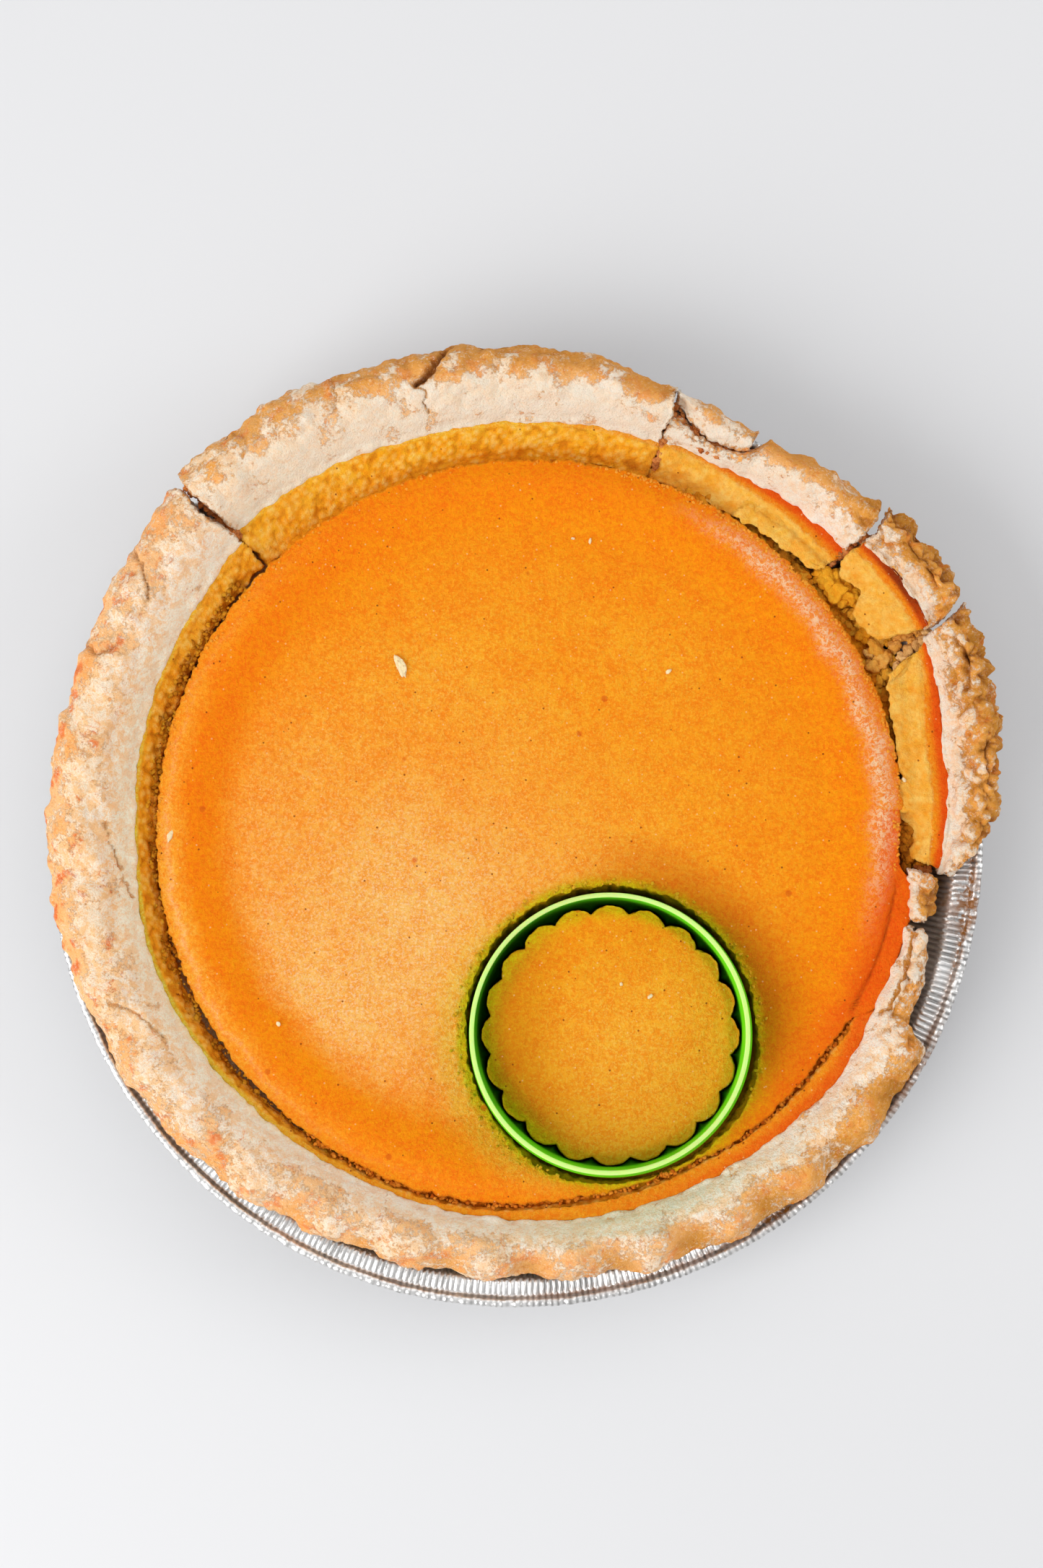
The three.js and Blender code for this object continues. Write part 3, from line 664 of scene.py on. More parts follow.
def crevice_depth(points):
    """How deep the cracks cut at each point."""
    depth = np.zeros(len(points))
    wobble = points[:, :2] + 0.8 * np.stack([noise(points, 2.2, 41), noise(points, 2.2, 42)], axis=1)
    for path, width, deep in CREVICES:
        dots = [on_pie(radius, angle)[:2] for angle, radius in path]
        for a, b in zip(dots[:-1], dots[1:]):
            along = np.clip((wobble - a) @ (b - a) / ((b - a) @ (b - a)), 0, 1)
            near = np.linalg.norm(wobble - a - along[:, None] * (b - a), axis=1)
            depth = np.maximum(depth, deep * bell(near, 0, width))
    return depth


CRIMP_SPACING = 10.35
CRIMP_AT = 281  # the angle of the middle of one crimp


def crimp_wave(angle):
    """1 in the middle of each crimp and 0 between two."""
    return 0.5 + 0.5 * np.cos(np.radians(angle - CRIMP_AT) * 360 / CRIMP_SPACING)


# The top of the rim as (share across, share of its rise, share of a crimp's dent), and the shares across
# at which its underside rests.
CROWN = [(0.07, 0.2, 0), (0.16, 0.45, 0.05), (0.28, 0.7, 0.15), (0.4, 0.88, 0.4), (0.52, 0.98, 0.8),
         (0.64, 1, 1), (0.76, 0.92, 1), (0.87, 0.72, 0.7), (0.95, 0.48, 0.3), (1, 0.28, 0)]
UNDERSIDE = (0.34, 0.4, 0.47, 0.54, 0.6, 0.68, 0.77, 0.86)


def rim_section(run):
    """The section of a run of crust: how far out and how high its face and its back lie, by angle."""
    inner_edge, outer_edge, crest_height = (through(run[key]) for key in ("inner", "outer", "crest"))
    lift = run.get("lift", 0)

    def section(angle):
        crimp = crimp_wave(angle)
        strength = crimping(angle)
        start = inner_edge(angle)
        full = ease(6, 12, outer_edge(angle) - start)
        to = outer_edge(angle) - full * strength * (crimp - 0.4) * 1.5
        rise = crest_height(angle) - FILLING_TOP
        dent = full * strength * crimp * 2.4
        seat = 27.6 + 1.25 * ease(108, 111, to)
        sill = np.maximum(run["foot"], over_pan(start + 2.6, angle))
        knee = np.maximum(26, sill + 0.3)
        toe = start - SLOPE * np.maximum(26 - sill, 0)

        def across(share):
            return mix(start, to, share)

        def above(radius, height):
            return radius, np.maximum(height, over_pan(radius, angle))

        def top(share, climb, dip):
            level = FILLING_TOP + 0.3 + lift + 3 * share
            return across(share), np.maximum(FILLING_TOP + rise * climb - dent * dip, level * (share < 0.6))

        face = [(toe, sill), (start, knee), (start + 0.1, np.maximum(FILLING_TOP + 0.3 + lift, knee + 0.5))]
        face += [top(*row) for row in CROWN]
        back = [above(toe + 3.4, sill), above(start + 2.6, knee + 0.2),
                above(np.minimum(start + 4.4, across(0.3)), seat - 0.1)]
        back += [above(across(share), seat) for share in UNDERSIDE]
        back += [above(across(0.93), seat + 0.1), above(across(0.985), seat + 0.6)]
        return face, back

    return section


FLOUR = color(250, 240, 226)
CREAM = color(250, 228, 196)
SANDY = color(255, 206, 138)
PEACH = color(252, 196, 136)
ORANGE = color(250, 166, 84)
GOLDEN = color(238, 164, 66)
OLIVE = color(190, 124, 34)
RUST = color(234, 112, 44)
BROWN = color(150, 84, 22)
LEMON = color(238, 220, 128)

# How far up the rim the clean floury slope reaches, as a share of its width.
whiteness = through([
    (-10, 0.26), (24, 0.24), (38, 0.34), (50, 0.44), (70, 0.55), (100, 0.52), (137, 0.42), (160, 0.3),
    (200, 0.2), (230, 0.16), (260, 0.22), (300, 0.34), (343, 0.48)])

# How much more baked the outer half of the rim is.
golden_edge = through([
    (-10, 0.2), (24, 0.2), (40, 0.6), (60, 0.5), (80, 0.35), (110, 0.15), (137, 0), (343, 0)])


def dress_pastry(made, inner, width, torn_where):
    """Relief and colour of a piece of crust, from the radius of its inner edge and its width."""
    points, across = spots(made)
    radius, angle = polar(points)
    angle = across_zero(angle)
    share = np.clip((radius - inner(angle)) / width(angle), -0.2, 1.3)
    up = across[:, 2]
    toast, rugged = toasting(angle), ease(0.35, 0.9, lumpiness(angle))
    left = bell(angle, 190, 62)
    right = np.clip(ease(62, 34, angle) + ease(262, 325, angle), 0, 1)
    above = ease(142, 132, angle) * ease(34, 60, angle)
    middle, outward = ease(0.12, 0.4, share), ease(0.3, 0.85, share)
    # crease marks the crimps' dents, which the colours below darken as painted shade.
    crease = crimp_wave(angle) ** 2 * ease(0.35, 0.8, share) * ease(0.45, 1.1, crimping(angle))

    crags, blisters = billows(points, 6.5, 2), billows(points, 7, 6)
    drift = np.stack([noise(points, 3.5, k) for k in (37, 38, 39)], axis=1)
    knobs, knots = lumps(points + 1.3 * drift, 4.8, 35), lumps(points + 0.5 * drift, 2.2, 36)
    floury = fractal(points, 8, 5, 3, 0.6)
    white = whiteness(angle)
    slope = mix(-0.75, 0.12, ease(white - 0.14, white + 0.16, share))
    bare = ((0.75 + 0.35 * above) * floury + slope + 0.3 * (toast - 0.6)
            + 0.5 * crease + golden_edge(angle) * ease(0.32, 0.7, share)
            + rugged * ease(0.1, 0.35, share) * (2.6 * (0.66 - knobs) + 1.2 * (0.66 - knots))
            + rugged * 0.9 * ease(0.42, 0.72, share)
            - 0.42 * left * ease(0.85, 0.65, share) + 0.3 * left * ease(0.75, 0.95, share))

    depth = crevice_depth(points) * ease(0.05, 0.4, up)
    crag = (crags - 0.5) * 1.2 + (knobs - 0.62) * 3.6 + (knots - 0.6) * 1.3
    out = (0.7 * fractal(points, 13, 2, 12) * middle
           + rugged * ease(0.02, 0.3, share) * crag
           + (1 - rugged) * middle * (blisters - 0.5) * 1.1
           + rugged * 0.5 * outward * fractal(points, 3.4, 2, 13)
           + 0.1 * fractal(points, 1.6, 3, 8) * (0.35 + outward)
           + 0.7 * ease(0.14, 0.02, share) * fractal(points, 5, 3, 15) - depth)
    lip = ease(0.86, 1.0, share) * ease(0.75, 0.2, np.abs(up))
    out += lip * (0.8 + 0.3 * rugged) * fractal(points, 4.2, 3, 21)
    torn = torn_where(radius, angle)
    crumb, clump = lumps(points, 1.5, 31), lumps(points, 3.1, 33)
    out = mix(out, (crumb - 0.5) * 0.7 + (clump - 0.5) * 0.9, torn) * ease(25.5, 27.5, points[:, 2])
    moved = points + across * out[:, None]
    moved[:, 2] = np.minimum(moved[:, 2], made["lid"])
    low = over_pan(*polar(moved)) - 0.15
    moved[:, 2] = np.where(points[:, 2] > 22, np.maximum(moved[:, 2], low), moved[:, 2])
    move(made, moved)

    soft = ease(-0.35, 0.55, fractal(points, 15, 3, 51))
    dab = ease(0.3, 0.55, fractal(points, 4.5, 3, 53) + 0.3 * (share - 0.7))
    # pit and pits mark the hollows between lumps, which the colours below darken as painted shade.
    pit = np.maximum(ease(0.52, 0.2, knobs), 0.6 * ease(0.4, 0.1, knots)) * rugged * middle
    pits = 0.8 * pit * outward + 0.5 * rugged * outward * ease(0.5, 0.25, knots)
    pale = paint(
        FLOUR,
        (CREAM, np.clip(0.35 * outward + 0.4 * soft * middle, 0, 1)),
        (color(236, 220, 196), 0.7 * above * (1 - outward)),
        # Painted light: the inner slope on the left is paler, to offset the shade it lies in.
        (color(252, 244, 214), 0.8 * left * (1 - middle)),
        (color(238, 224, 204), 0.8 * right * rugged),
        (SANDY, 0.2 * left * middle),
        (LEMON, ease(0.07, 0.0, share) * 0.35 * bell(angle, 222, 26)),
    )
    ground = paint(
        PEACH,
        (ORANGE, outward * (0.2 + 0.6 * soft)),
        (GOLDEN, np.clip(right * 0.8 + 0.5 * rugged + 0.5 * crease + outward * above * 0.7, 0, 0.95)),
        # Olive: painted shade in the crimp dents and hollows, and baked colour on the rugged and golden-edged
        # runs.
        (OLIVE, np.clip(crease * (0.3 + 0.5 * right) + 0.75 * pit + 0.45 * rugged * soft
                        + 0.6 * ease(0.6, 0.9, share) * (rugged + golden_edge(angle)), 0, 0.9)),
        (RUST, dab * (0.25 + 0.65 * left)),
        (color(214, 136, 40), 0.8 * golden_edge(angle) * outward * (1 - rugged)),
        # Brown: painted shade in the cracks and hollows.
        (BROWN, np.clip(depth / 1.6 + pits, 0, 0.85)),
        (mix(GOLDEN, ORANGE, 0.4), torn * 0.8),
        # Brown between the crumbs of torn pastry: painted shade.
        (BROWN, torn * ease(0.45, 0.1, crumb) * 0.8),
    )
    # The cracks also show the darker ground colour, as painted shade.
    bare = np.where(depth > 0.25, np.maximum(bare, depth * 0.8), bare)
    store(made, "tint", pale)
    store(made, "ground", ground)
    store(made, "bare", mix(bare, 0.75 - 1.0 * crumb, torn * 0.9))
    mottled = 0.6 + 0.4 * left + 0.25 * right - 0.4 * above * (1 - outward)
    from_edge = mix(0.5, 1, ease(0.04, 0.3, share))
    store(made, "toast", np.clip(mottled * from_edge * (1 - torn), 0, 1))


def steps(length, spacing, least=3):
    return np.linspace(0, 1, max(least, int(round(length / spacing)) + 1))


def arc(run, radius):
    """Length of a run of crust or filling along its middle."""
    return math.radians(run["end"][0][1] - run["start"][0][1]) * radius


def make_rim(name, run, spacing):
    inner, outer = through(run["inner"]), through(run["outer"])
    length = arc(run, 118)
    fine = spacing * COARSER
    us, ss, ws = steps(length, fine), steps(36, fine), steps(8, fine * 1.3)
    points, quads, at = bent(us, ss, ws, run["start"], run["end"], rim_section(run), seed=len(name))
    made = mesh(name + "_fine", points, quads, PASTRY, "crust")
    made["lid"] = 40.0

    def torn(radius, angle):
        on_end = (at["u"] == 0) | (at["u"] == 1)
        near_end = np.exp(-np.minimum(at["u"], 1 - at["u"]) * length / 0.8)
        broken = bell(angle, 336.5, 6.6) * ease(0.45, 0.75, (radius - inner(angle)) / 8)
        broken = broken * (name == "crust_shell")
        snapped = ease(56.2, 57.6, angle) * ease(0.35, 0.6, at["s"]) * (name == "crust_upper_right")
        return np.clip(np.maximum.reduce([on_end * 1.0, near_end * 0.5, broken, snapped]), 0, 1)

    dress_pastry(made, inner, lambda angle: np.clip(outer(angle) - inner(angle), 13, 21), torn)
    return made


def make_dish():
    """The floor and wall that line the pan, mostly hidden, so coarser than the rim."""
    count = 240
    angle = np.arange(count) * 360 / count
    foot = dish_outer(angle)
    crumble = 0.5 * np.sin(angle / 9 * 1.7 + 2)
    top = 21.2
    rows = [
        (30, 1.0), (foot - 2, 1.0), (foot + 1.6, 2.6), (foot + SLOPE * top - 0.4, top + crumble),
        (foot + SLOPE * top - 3.9, top + crumble - 0.4), (foot - DISH_WALL, DISH_FLOOR),
        (30, DISH_FLOOR),
    ]
    points = np.stack([on_pie(r, angle, z) for r, z in rows], axis=1).reshape(-1, 3)
    made = mesh("dish", points, turned_faces(count, len(rows)), PASTRY, "crust")
    cut_away(made, make_slot("slot_dish"))
    spread = len(made.data.vertices)
    store(made, "tint", np.tile(CREAM, (spread, 1)))
    store(made, "ground", np.tile(GOLDEN, (spread, 1)))
    store(made, "bare", np.full(spread, 0.2))
    store(made, "toast", np.full(spread, 0.7))
    return made


# ---- cutter and the round that it cuts ---------------------------------------------------------

# The cutter: where it stands, how far and which way it leans, and its own radii and heights. ROUND is the
# fluted round inside it, with its middle in the cutter's frame.
CUT = dict(x=24.4, y=-50.3, z=28, tilt=9, leans_to=113, lobes=20, fit=0.95, wall=1.1, top=7.5,
           bottom=-16.5, rim=36.3, belt=37.5, hole=38.6)
ROUND = dict(peak=33.8, valley=31.7, x=0.2, y=-0.5)
LEAN = np.array([-math.sin(math.radians(CUT["leans_to"])), math.cos(math.radians(CUT["leans_to"])), 0])


def tilted(points):
    """Points in the cutter's own frame, put where it stands in the pie."""
    t = math.radians(CUT["tilt"])
    along = np.outer(points @ LEAN, LEAN)
    turned = points * math.cos(t) + np.cross(LEAN, points) * math.sin(t) + along * (1 - math.cos(t))
    return turned + np.array([CUT["x"], CUT["y"], CUT["z"]])


def from_cutter(points):
    """Level distance from the cutter's middle."""
    return np.hypot(points[:, 0] - CUT["x"], points[:, 1] - CUT["y"])


def scallop(angle):
    wave = np.abs(np.sin(np.radians(angle + 9) * CUT["lobes"] / 2))
    return mix(ROUND["valley"], ROUND["peak"], wave ** 0.8)


def ring(count, rows):
    """A closed ring turned in the cutter's frame. rows is a list of (radii, heights)."""
    turn = np.arange(count) * 2 * math.pi / count
    points = np.stack([np.stack([r * np.cos(turn), r * np.sin(turn), z + 0 * turn], axis=1)
                       for r, z in rows], axis=1).reshape(-1, 3)
    return points, loop(count, len(rows), True)


def make_cutter():
    count = 720
    angle = np.arange(count) * 360 / count
    fluted = scallop(angle) + CUT["fit"]
    wall, rim, top, bottom = (CUT[k] for k in ("wall", "rim", "top", "bottom"))
    belt = CUT["belt"] - 0.4
    lip = [(rim + 0.02, top - 1.2), (rim, top - 0.45), (rim - 0.1, top - 0.12), (rim - 0.3, top),
           (rim - 1.0, top), (rim - 1.2, top - 0.12), (rim - 1.3, top - 0.45), (rim - 1.3, top - 1.2)]
    rows = [(fluted + wall, bottom), (fluted + wall, -14), (fluted + wall, -11), (fluted + wall, -9.2)]
    rows += [(mix(fluted + wall, belt - 0.2, t), mix(-9, -6.5, t)) for t in (0.1, 0.5, 0.9)]
    rows += [(belt - 0.1, -6.2), (belt, -5), (belt, -1), (belt - 0.1, -0.2), (mix(belt, rim, 0.35), 1.5),
             (mix(belt, rim, 0.75), 4)]
    rows += lip
    rows += [(rim - 1.35, 4), (rim - 1.5, 1), (rim - 1.7, -2), (rim - 1.9, -5),
             (mix(rim - 2.0, fluted, 0.5), -7), (fluted, -9), (fluted, -11), (fluted, -14), (fluted, bottom)]
    points, quads = ring(count, rows)
    made = mesh("cutter_fine", tilted(points), quads, PLASTIC, "green_plastic")
    height = points[:, 2]
    radius = np.hypot(points[:, 0], points[:, 1])
    lit = ease(top - 0.3, top - 0.08, height)
    deep = ease(-5, -11, height)
    shaded = 0.5 + 0.5 * np.cos(np.arctan2(points[:, 1], points[:, 0]) - math.radians(150))
    inside = radius < rim - 1.1
    # Painted light and shade: the inner wall painted a lighter green, painted shade on the inner wall at the
    # upper left and deep down, and a painted highlight along the top of the rim.
    tint = paint(color(84, 196, 10),
                 (color(98, 216, 20), inside * 1.0),
                 (color(30, 100, 4), 0.9 * shaded ** 2 * inside),
                 (color(26, 74, 4), deep * 0.85),
                 (color(202, 244, 140), lit))
    store(made, "tint", tint)
    return made


def surface_height(angle, radius=38):
    """Height of the level filling in the cutter's frame, which leans."""
    return radius * math.sin(math.radians(CUT["tilt"])) * np.cos(np.radians(angle - CUT["leans_to"]))


def make_slot(name):
    """The space that the cutter has pressed round itself, torn where it meets the filling's surface."""
    count = 720
    angle = np.arange(count) * 360 / count
    inside = ROUND["valley"] - 0.9
    outside = ROUND["peak"] + CUT["fit"] + CUT["wall"] + 0.4
    level = surface_height(angle)

    def torn(depth, spread):
        place = round_the_pie(angle, 38) + [0, 0, depth]
        ragged = 0.4 * fractal(place, 4, 3, 61) + 0.7 * (lumps(place, 1.9, 62) - 0.45)
        tight = 0.7 * bell(angle, 205, 55)
        return np.maximum(CUT["hole"] - 0.5 + spread + ragged - tight, CUT["belt"] - 0.1)

    lips = ((-3.2, 0), (-2.6, 0), (-2, 0), (-1.5, 0.05), (-1, 0.15), (-0.6, 0.3), (-0.2, 0.5),
            (0.2, 0.8), (0.6, 1.1), (1.2, 1.5), (4, 2.5))
    rows = [(outside, CUT["bottom"] - 0.4), (outside, -12), (outside, -9.4)]
    rows += [(torn(depth, spread), level + depth + 0.2) for depth, spread in lips]
    rows += [(torn(6, 3), 14), (inside, 14), (inside, CUT["bottom"] - 0.4)]
    points, quads = ring(count, rows)
    return mesh(name, tilted(points), quads, PUMPKIN, "filling")


# ---- filling ----------------------------------------------------------------------------------

SLAB = dict(x=1.1, y=-6.3, radius=97.6)
slab_circle = circle_edge(SLAB["x"], SLAB["y"], SLAB["radius"])
shell_inner = through(RIMS["crust_shell"]["inner"])
SCRAP_INNER = [(343.8, 104.4), (346, 103.2), (349, 101.8), (351, 100.8)]
scrap_inner = through(SCRAP_INNER)

# Below the cutter the crack runs inside the slab's circle.
drawn_in = through([
    (255, 0), (262, 0.2), (270, 1), (278, 1.7), (288, 1.8), (296, 1.6), (304, 1), (312, 1.1),
    (319, 1.8), (325, 1.2), (332, 1)])


def slab_edge(angle):
    return slab_circle(angle) - np.where(angle > 255, drawn_in(angle), 0)


# A hairline crack in the skin that carries on where the open one ends: (angle, radius).
HAIRLINE = through([(327, 100.6), (331, 99.8), (337, 99.9), (342, 99.2), (346, 98.9), (349, 98.6)])


def hairline(points, radius, angle):
    """How near each point lies to the hairline crack."""
    line = HAIRLINE(angle) + 0.35 * noise(points, 3, 75) + 0.2 * noise(points, 1.2, 76)
    return bell(radius, line, 0.45) * ease(326, 330, angle) * ease(350, 346, angle)


def slab_top(points):
    """Height of the filling's baked surface: a soft dip in the middle and a puffed ring at the edge."""
    radius, angle = polar(points)
    share = radius / slab_edge(angle)
    flat = points * [1, 1, 0]
    puff = 2.5 * ease(0.78, 0.94, share) * (1 - 0.8 * ease(0.94, 1.02, share))
    swell = 0.3 * fractal(flat, 38, 2, 71) + 0.1 * fractal(flat, 11, 2, 72)
    grain = 0.07 * fractal(flat, 2.2, 2, 73)
    pressed = from_cutter(points)
    outside = ease(36, 38, pressed)
    crumbly = ease(43.5, 39, pressed) * outside
    sunk = 0.5 * ease(46, 38.5, pressed) * outside
    crumbs = 0.55 * (lumps(flat, 1.6, 74) - 0.4) * crumbly
    plug = -0.8 * ease(30.5, 34, pressed) * (1 - outside)
    return 27.9 + puff + swell + grain - sunk + plug + crumbs - 0.7 * hairline(flat, radius, angle)


def still_joined(angle):
    return ease(326, 331, angle) * (1 - ease(349, 352, angle))


def ledge(angle):
    return ease(6, 10, angle) * (1 - 0.5 * ease(36, 39, angle)) * (1 - ease(132, 137, angle))


def slab_outline(angle):
    """The torn outer edge of the slab, and how much of it is joined on to the crust."""
    place = round_the_pie(angle)
    side = bell((angle + 180) % 360 - 180, 35, 60)
    cracked = ease(236, 256, angle) * ease(334, 326, angle)
    ragged = 0.35 * fractal(place, 6, 3, 81) + (0.5 + 0.6 * side) * (lumps(place, 2.4, 82) - 0.45)
    ragged += (0.55 + 0.3 * side + 0.2 * cracked) * (lumps(place, 1.15, 84) - 0.5)
    ragged -= side * 0.6 * ease(0.3, 0.6, noise(place, 7, 83))
    ragged += 0.5 * cracked * noise(place, 2.8, 85)
    free = slab_edge(angle) + np.clip(ragged, -1.1, 0.6) + 0.3 * cracked
    joined = mix(shell_inner(angle), scrap_inner(angle), ease(343, 345, angle)) + 1.1
    return mix(free, joined, still_joined(angle))


def square_to_disc(n):
    """Evenly spread points of a disc on an n by n grid, and the grid's border in order."""
    a, b = np.meshgrid(np.linspace(-1, 1, n), np.linspace(-1, 1, n), indexing="ij")
    wide = np.abs(a) > np.abs(b)
    radius = np.where(wide, a, b)
    safe = np.where(radius == 0, 1, radius)
    turn = np.where(wide, (math.pi / 4) * b / safe, math.pi / 2 - (math.pi / 4) * a / safe)
    index = np.arange(n * n).reshape(n, n)
    border = np.concatenate([index[:-1, 0], index[-1, :-1], index[:0:-1, -1], index[0, :0:-1]])
    corners = [index[:-1, :-1], index[1:, :-1], index[1:, 1:], index[:-1, 1:]]
    return radius.ravel(), turn.ravel(), np.stack([c.ravel() for c in corners], axis=1), border


def capped(name, n, place, rows):
    """A solid with an even top grid, a side made of rows below its border, and a plain floor."""
    r, turn, quads, border = square_to_disc(n)
    angle = (np.degrees(turn) + np.where(r < 0, 180, 0)) % 360
    top = place(np.abs(r), angle)
    edge_angle = angle[border]
    sides = [row(edge_angle) for row in rows]
    points = np.concatenate([top] + sides)
    faces = [quads]
    above = border
    for k in range(len(sides)):
        below = len(top) + k * len(border) + np.arange(len(border))
        faces.append(np.stack([above, np.roll(above, -1), np.roll(below, -1), below], axis=1)[:, ::-1])
        above = below
    faces = np.concatenate(faces)
    if face_normals(points, faces[: len(quads)])[:, 2].sum() < 0:
        faces[: len(quads)] = faces[: len(quads), ::-1]
    outward = face_normals(points, faces[len(quads):])
    away = points[faces[len(quads):, 0]] - points.mean(0)
    if np.einsum("ij,ij->i", outward[:, :2], away[:, :2]).sum() < 0:
        faces[len(quads):] = faces[len(quads):, ::-1]
    made = mesh(name, points, [list(f) for f in faces] + [list(above)], PUMPKIN, "filling")
    if made.data.polygons[-1].normal[2] > 0:
        made.data.polygons[-1].flip()
    return made


def in_dish(angle, z):
    """Radius just inside the pastry that lines the pan."""
    return dish_outer(angle) - DISH_WALL + SLOPE * (z - DISH_FLOOR) - 0.5


def make_slab():
    n = 321

    def top(share, angle):
        flat = on_pie(share ** 0.985 * (slab_outline(angle) - 0.35), angle)
        flat[:, 2] = slab_top(flat)
        return flat

    def clear(angle):
        inside = np.minimum(slab_outline(angle), shell_inner(np.clip(angle, 137, 343)) - 0.9)
        return np.where(angle > 137, inside, slab_outline(angle))

    def side(z, inset, low):
        def row(angle):
            radius = clear(angle) - SLOPE * max(0, 26 - z) * (angle > 137) * ease(196, 215, angle)
            radius = radius - inset + low * ledge(angle)
            radius += (z < 26.6) * 1.6 * ease(236, 252, angle) * ease(334, 328, angle)
            place = on_pie(radius, angle, z)
            crumb = 0.75 * (lumps(place, 1.9, 91) - 0.5) + 0.45 * (lumps(place, 4.2, 92) - 0.5)
            return on_pie(radius + crumb * (0.5 + 0.5 * (angle < 200)) - 0.3, angle, z)
        return row

    def low_row(z):
        return lambda angle: on_pie(in_dish(angle, min(z, 20.4)), angle, z)

    # Rows down the torn side: the height, how far in it lies, and how far the ledge reaches out.
    torn_rows = ((27.6, 0, 0), (27.1, 0.05, 0), (26.5, 0.15, 0), (25.9, 0.25, 0), (25.3, 0.3, 0.2),
                 (24.7, 0.35, 1.6), (24.1, 0.3, 3.2), (23.6, 0.35, 4.4), (23.0, 0.4, 5.2))
    rows = [side(*row) for row in torn_rows] + [low_row(z) for z in (22.6, 20.4, 4.8)]
    made = capped("slab_fine", n, top, rows)
    cut_away(made, make_column("column", ROUND["peak"] + 0.3, 240))
    cut_away(made, make_slot("slot"))
    return made


def make_column(name, radius, count):
    """A tall round bar in the cutter's frame, which clears the slab for the round."""
    turn = np.arange(count) * 2 * math.pi / count
    x, y = ROUND["x"] + radius * np.cos(turn), ROUND["y"] + radius * np.sin(turn)
    ends = [np.stack([x, y, z + 0 * turn], axis=1) for z in (-30, 30)]
    a = np.arange(count)
    b = np.roll(a, -1)
    sides = [list(q) for q in np.stack([a, b, b + count, a + count], axis=1)]
    caps = [list(a[::-1]), list(a + count)]
    return mesh(name, tilted(np.concatenate(ends)), sides + caps, PUMPKIN, "filling")


def make_round():
    n = 130
    t = math.radians(CUT["tilt"])
    lean = np.array([math.cos(math.radians(CUT["leans_to"])), math.sin(math.radians(CUT["leans_to"]))])

    def at_height(radius, angle, height):
        """Where the tilted cut meets a level height, for a radius and angle in the cutter's frame."""
        turn = np.radians(angle)
        flat = radius[:, None] * np.stack([np.cos(turn), np.sin(turn)], axis=1) + [ROUND["x"], ROUND["y"]]
        run = flat @ lean
        drop = (height - CUT["z"] + run * math.sin(t)) / math.cos(t)
        shift = run * (math.cos(t) - 1) + drop * math.sin(t)
        spot = flat + shift[:, None] * lean + [CUT["x"], CUT["y"]]
        return np.column_stack([spot, height + 0 * run])

    def outline(angle):
        return scallop(angle) - 0.15 + 0.22 * fractal(round_the_pie(angle, 33), 2.0, 2, 95)

    def top(share, angle):
        spot = at_height(share * (outline(angle) - 0.2), angle, 28.5)
        spot[:, 2] = slab_top(spot)
        return spot

    def side(z):
        def row(angle):
            place = at_height(outline(angle), angle, z)
            crumb = 0.35 * (lumps(place, 1.6, 96) - 0.6) * (z > 15)
            return at_height(np.minimum(outline(angle) + crumb, scallop(angle)), angle, z)
        return row

    def floor(z):
        def row(angle):
            place = at_height(outline(angle), angle, z)
            radius, about = polar(place)
            return on_pie(np.minimum(radius, in_dish(about, z)), about, z)
        return row

    rows = [side(z) for z in (27.4, 26.6, 25.8, 25, 24, 23, 22)] + [floor(z) for z in (19, 14, 9, 4.8)]
    return capped("round_fine", n, top, rows)


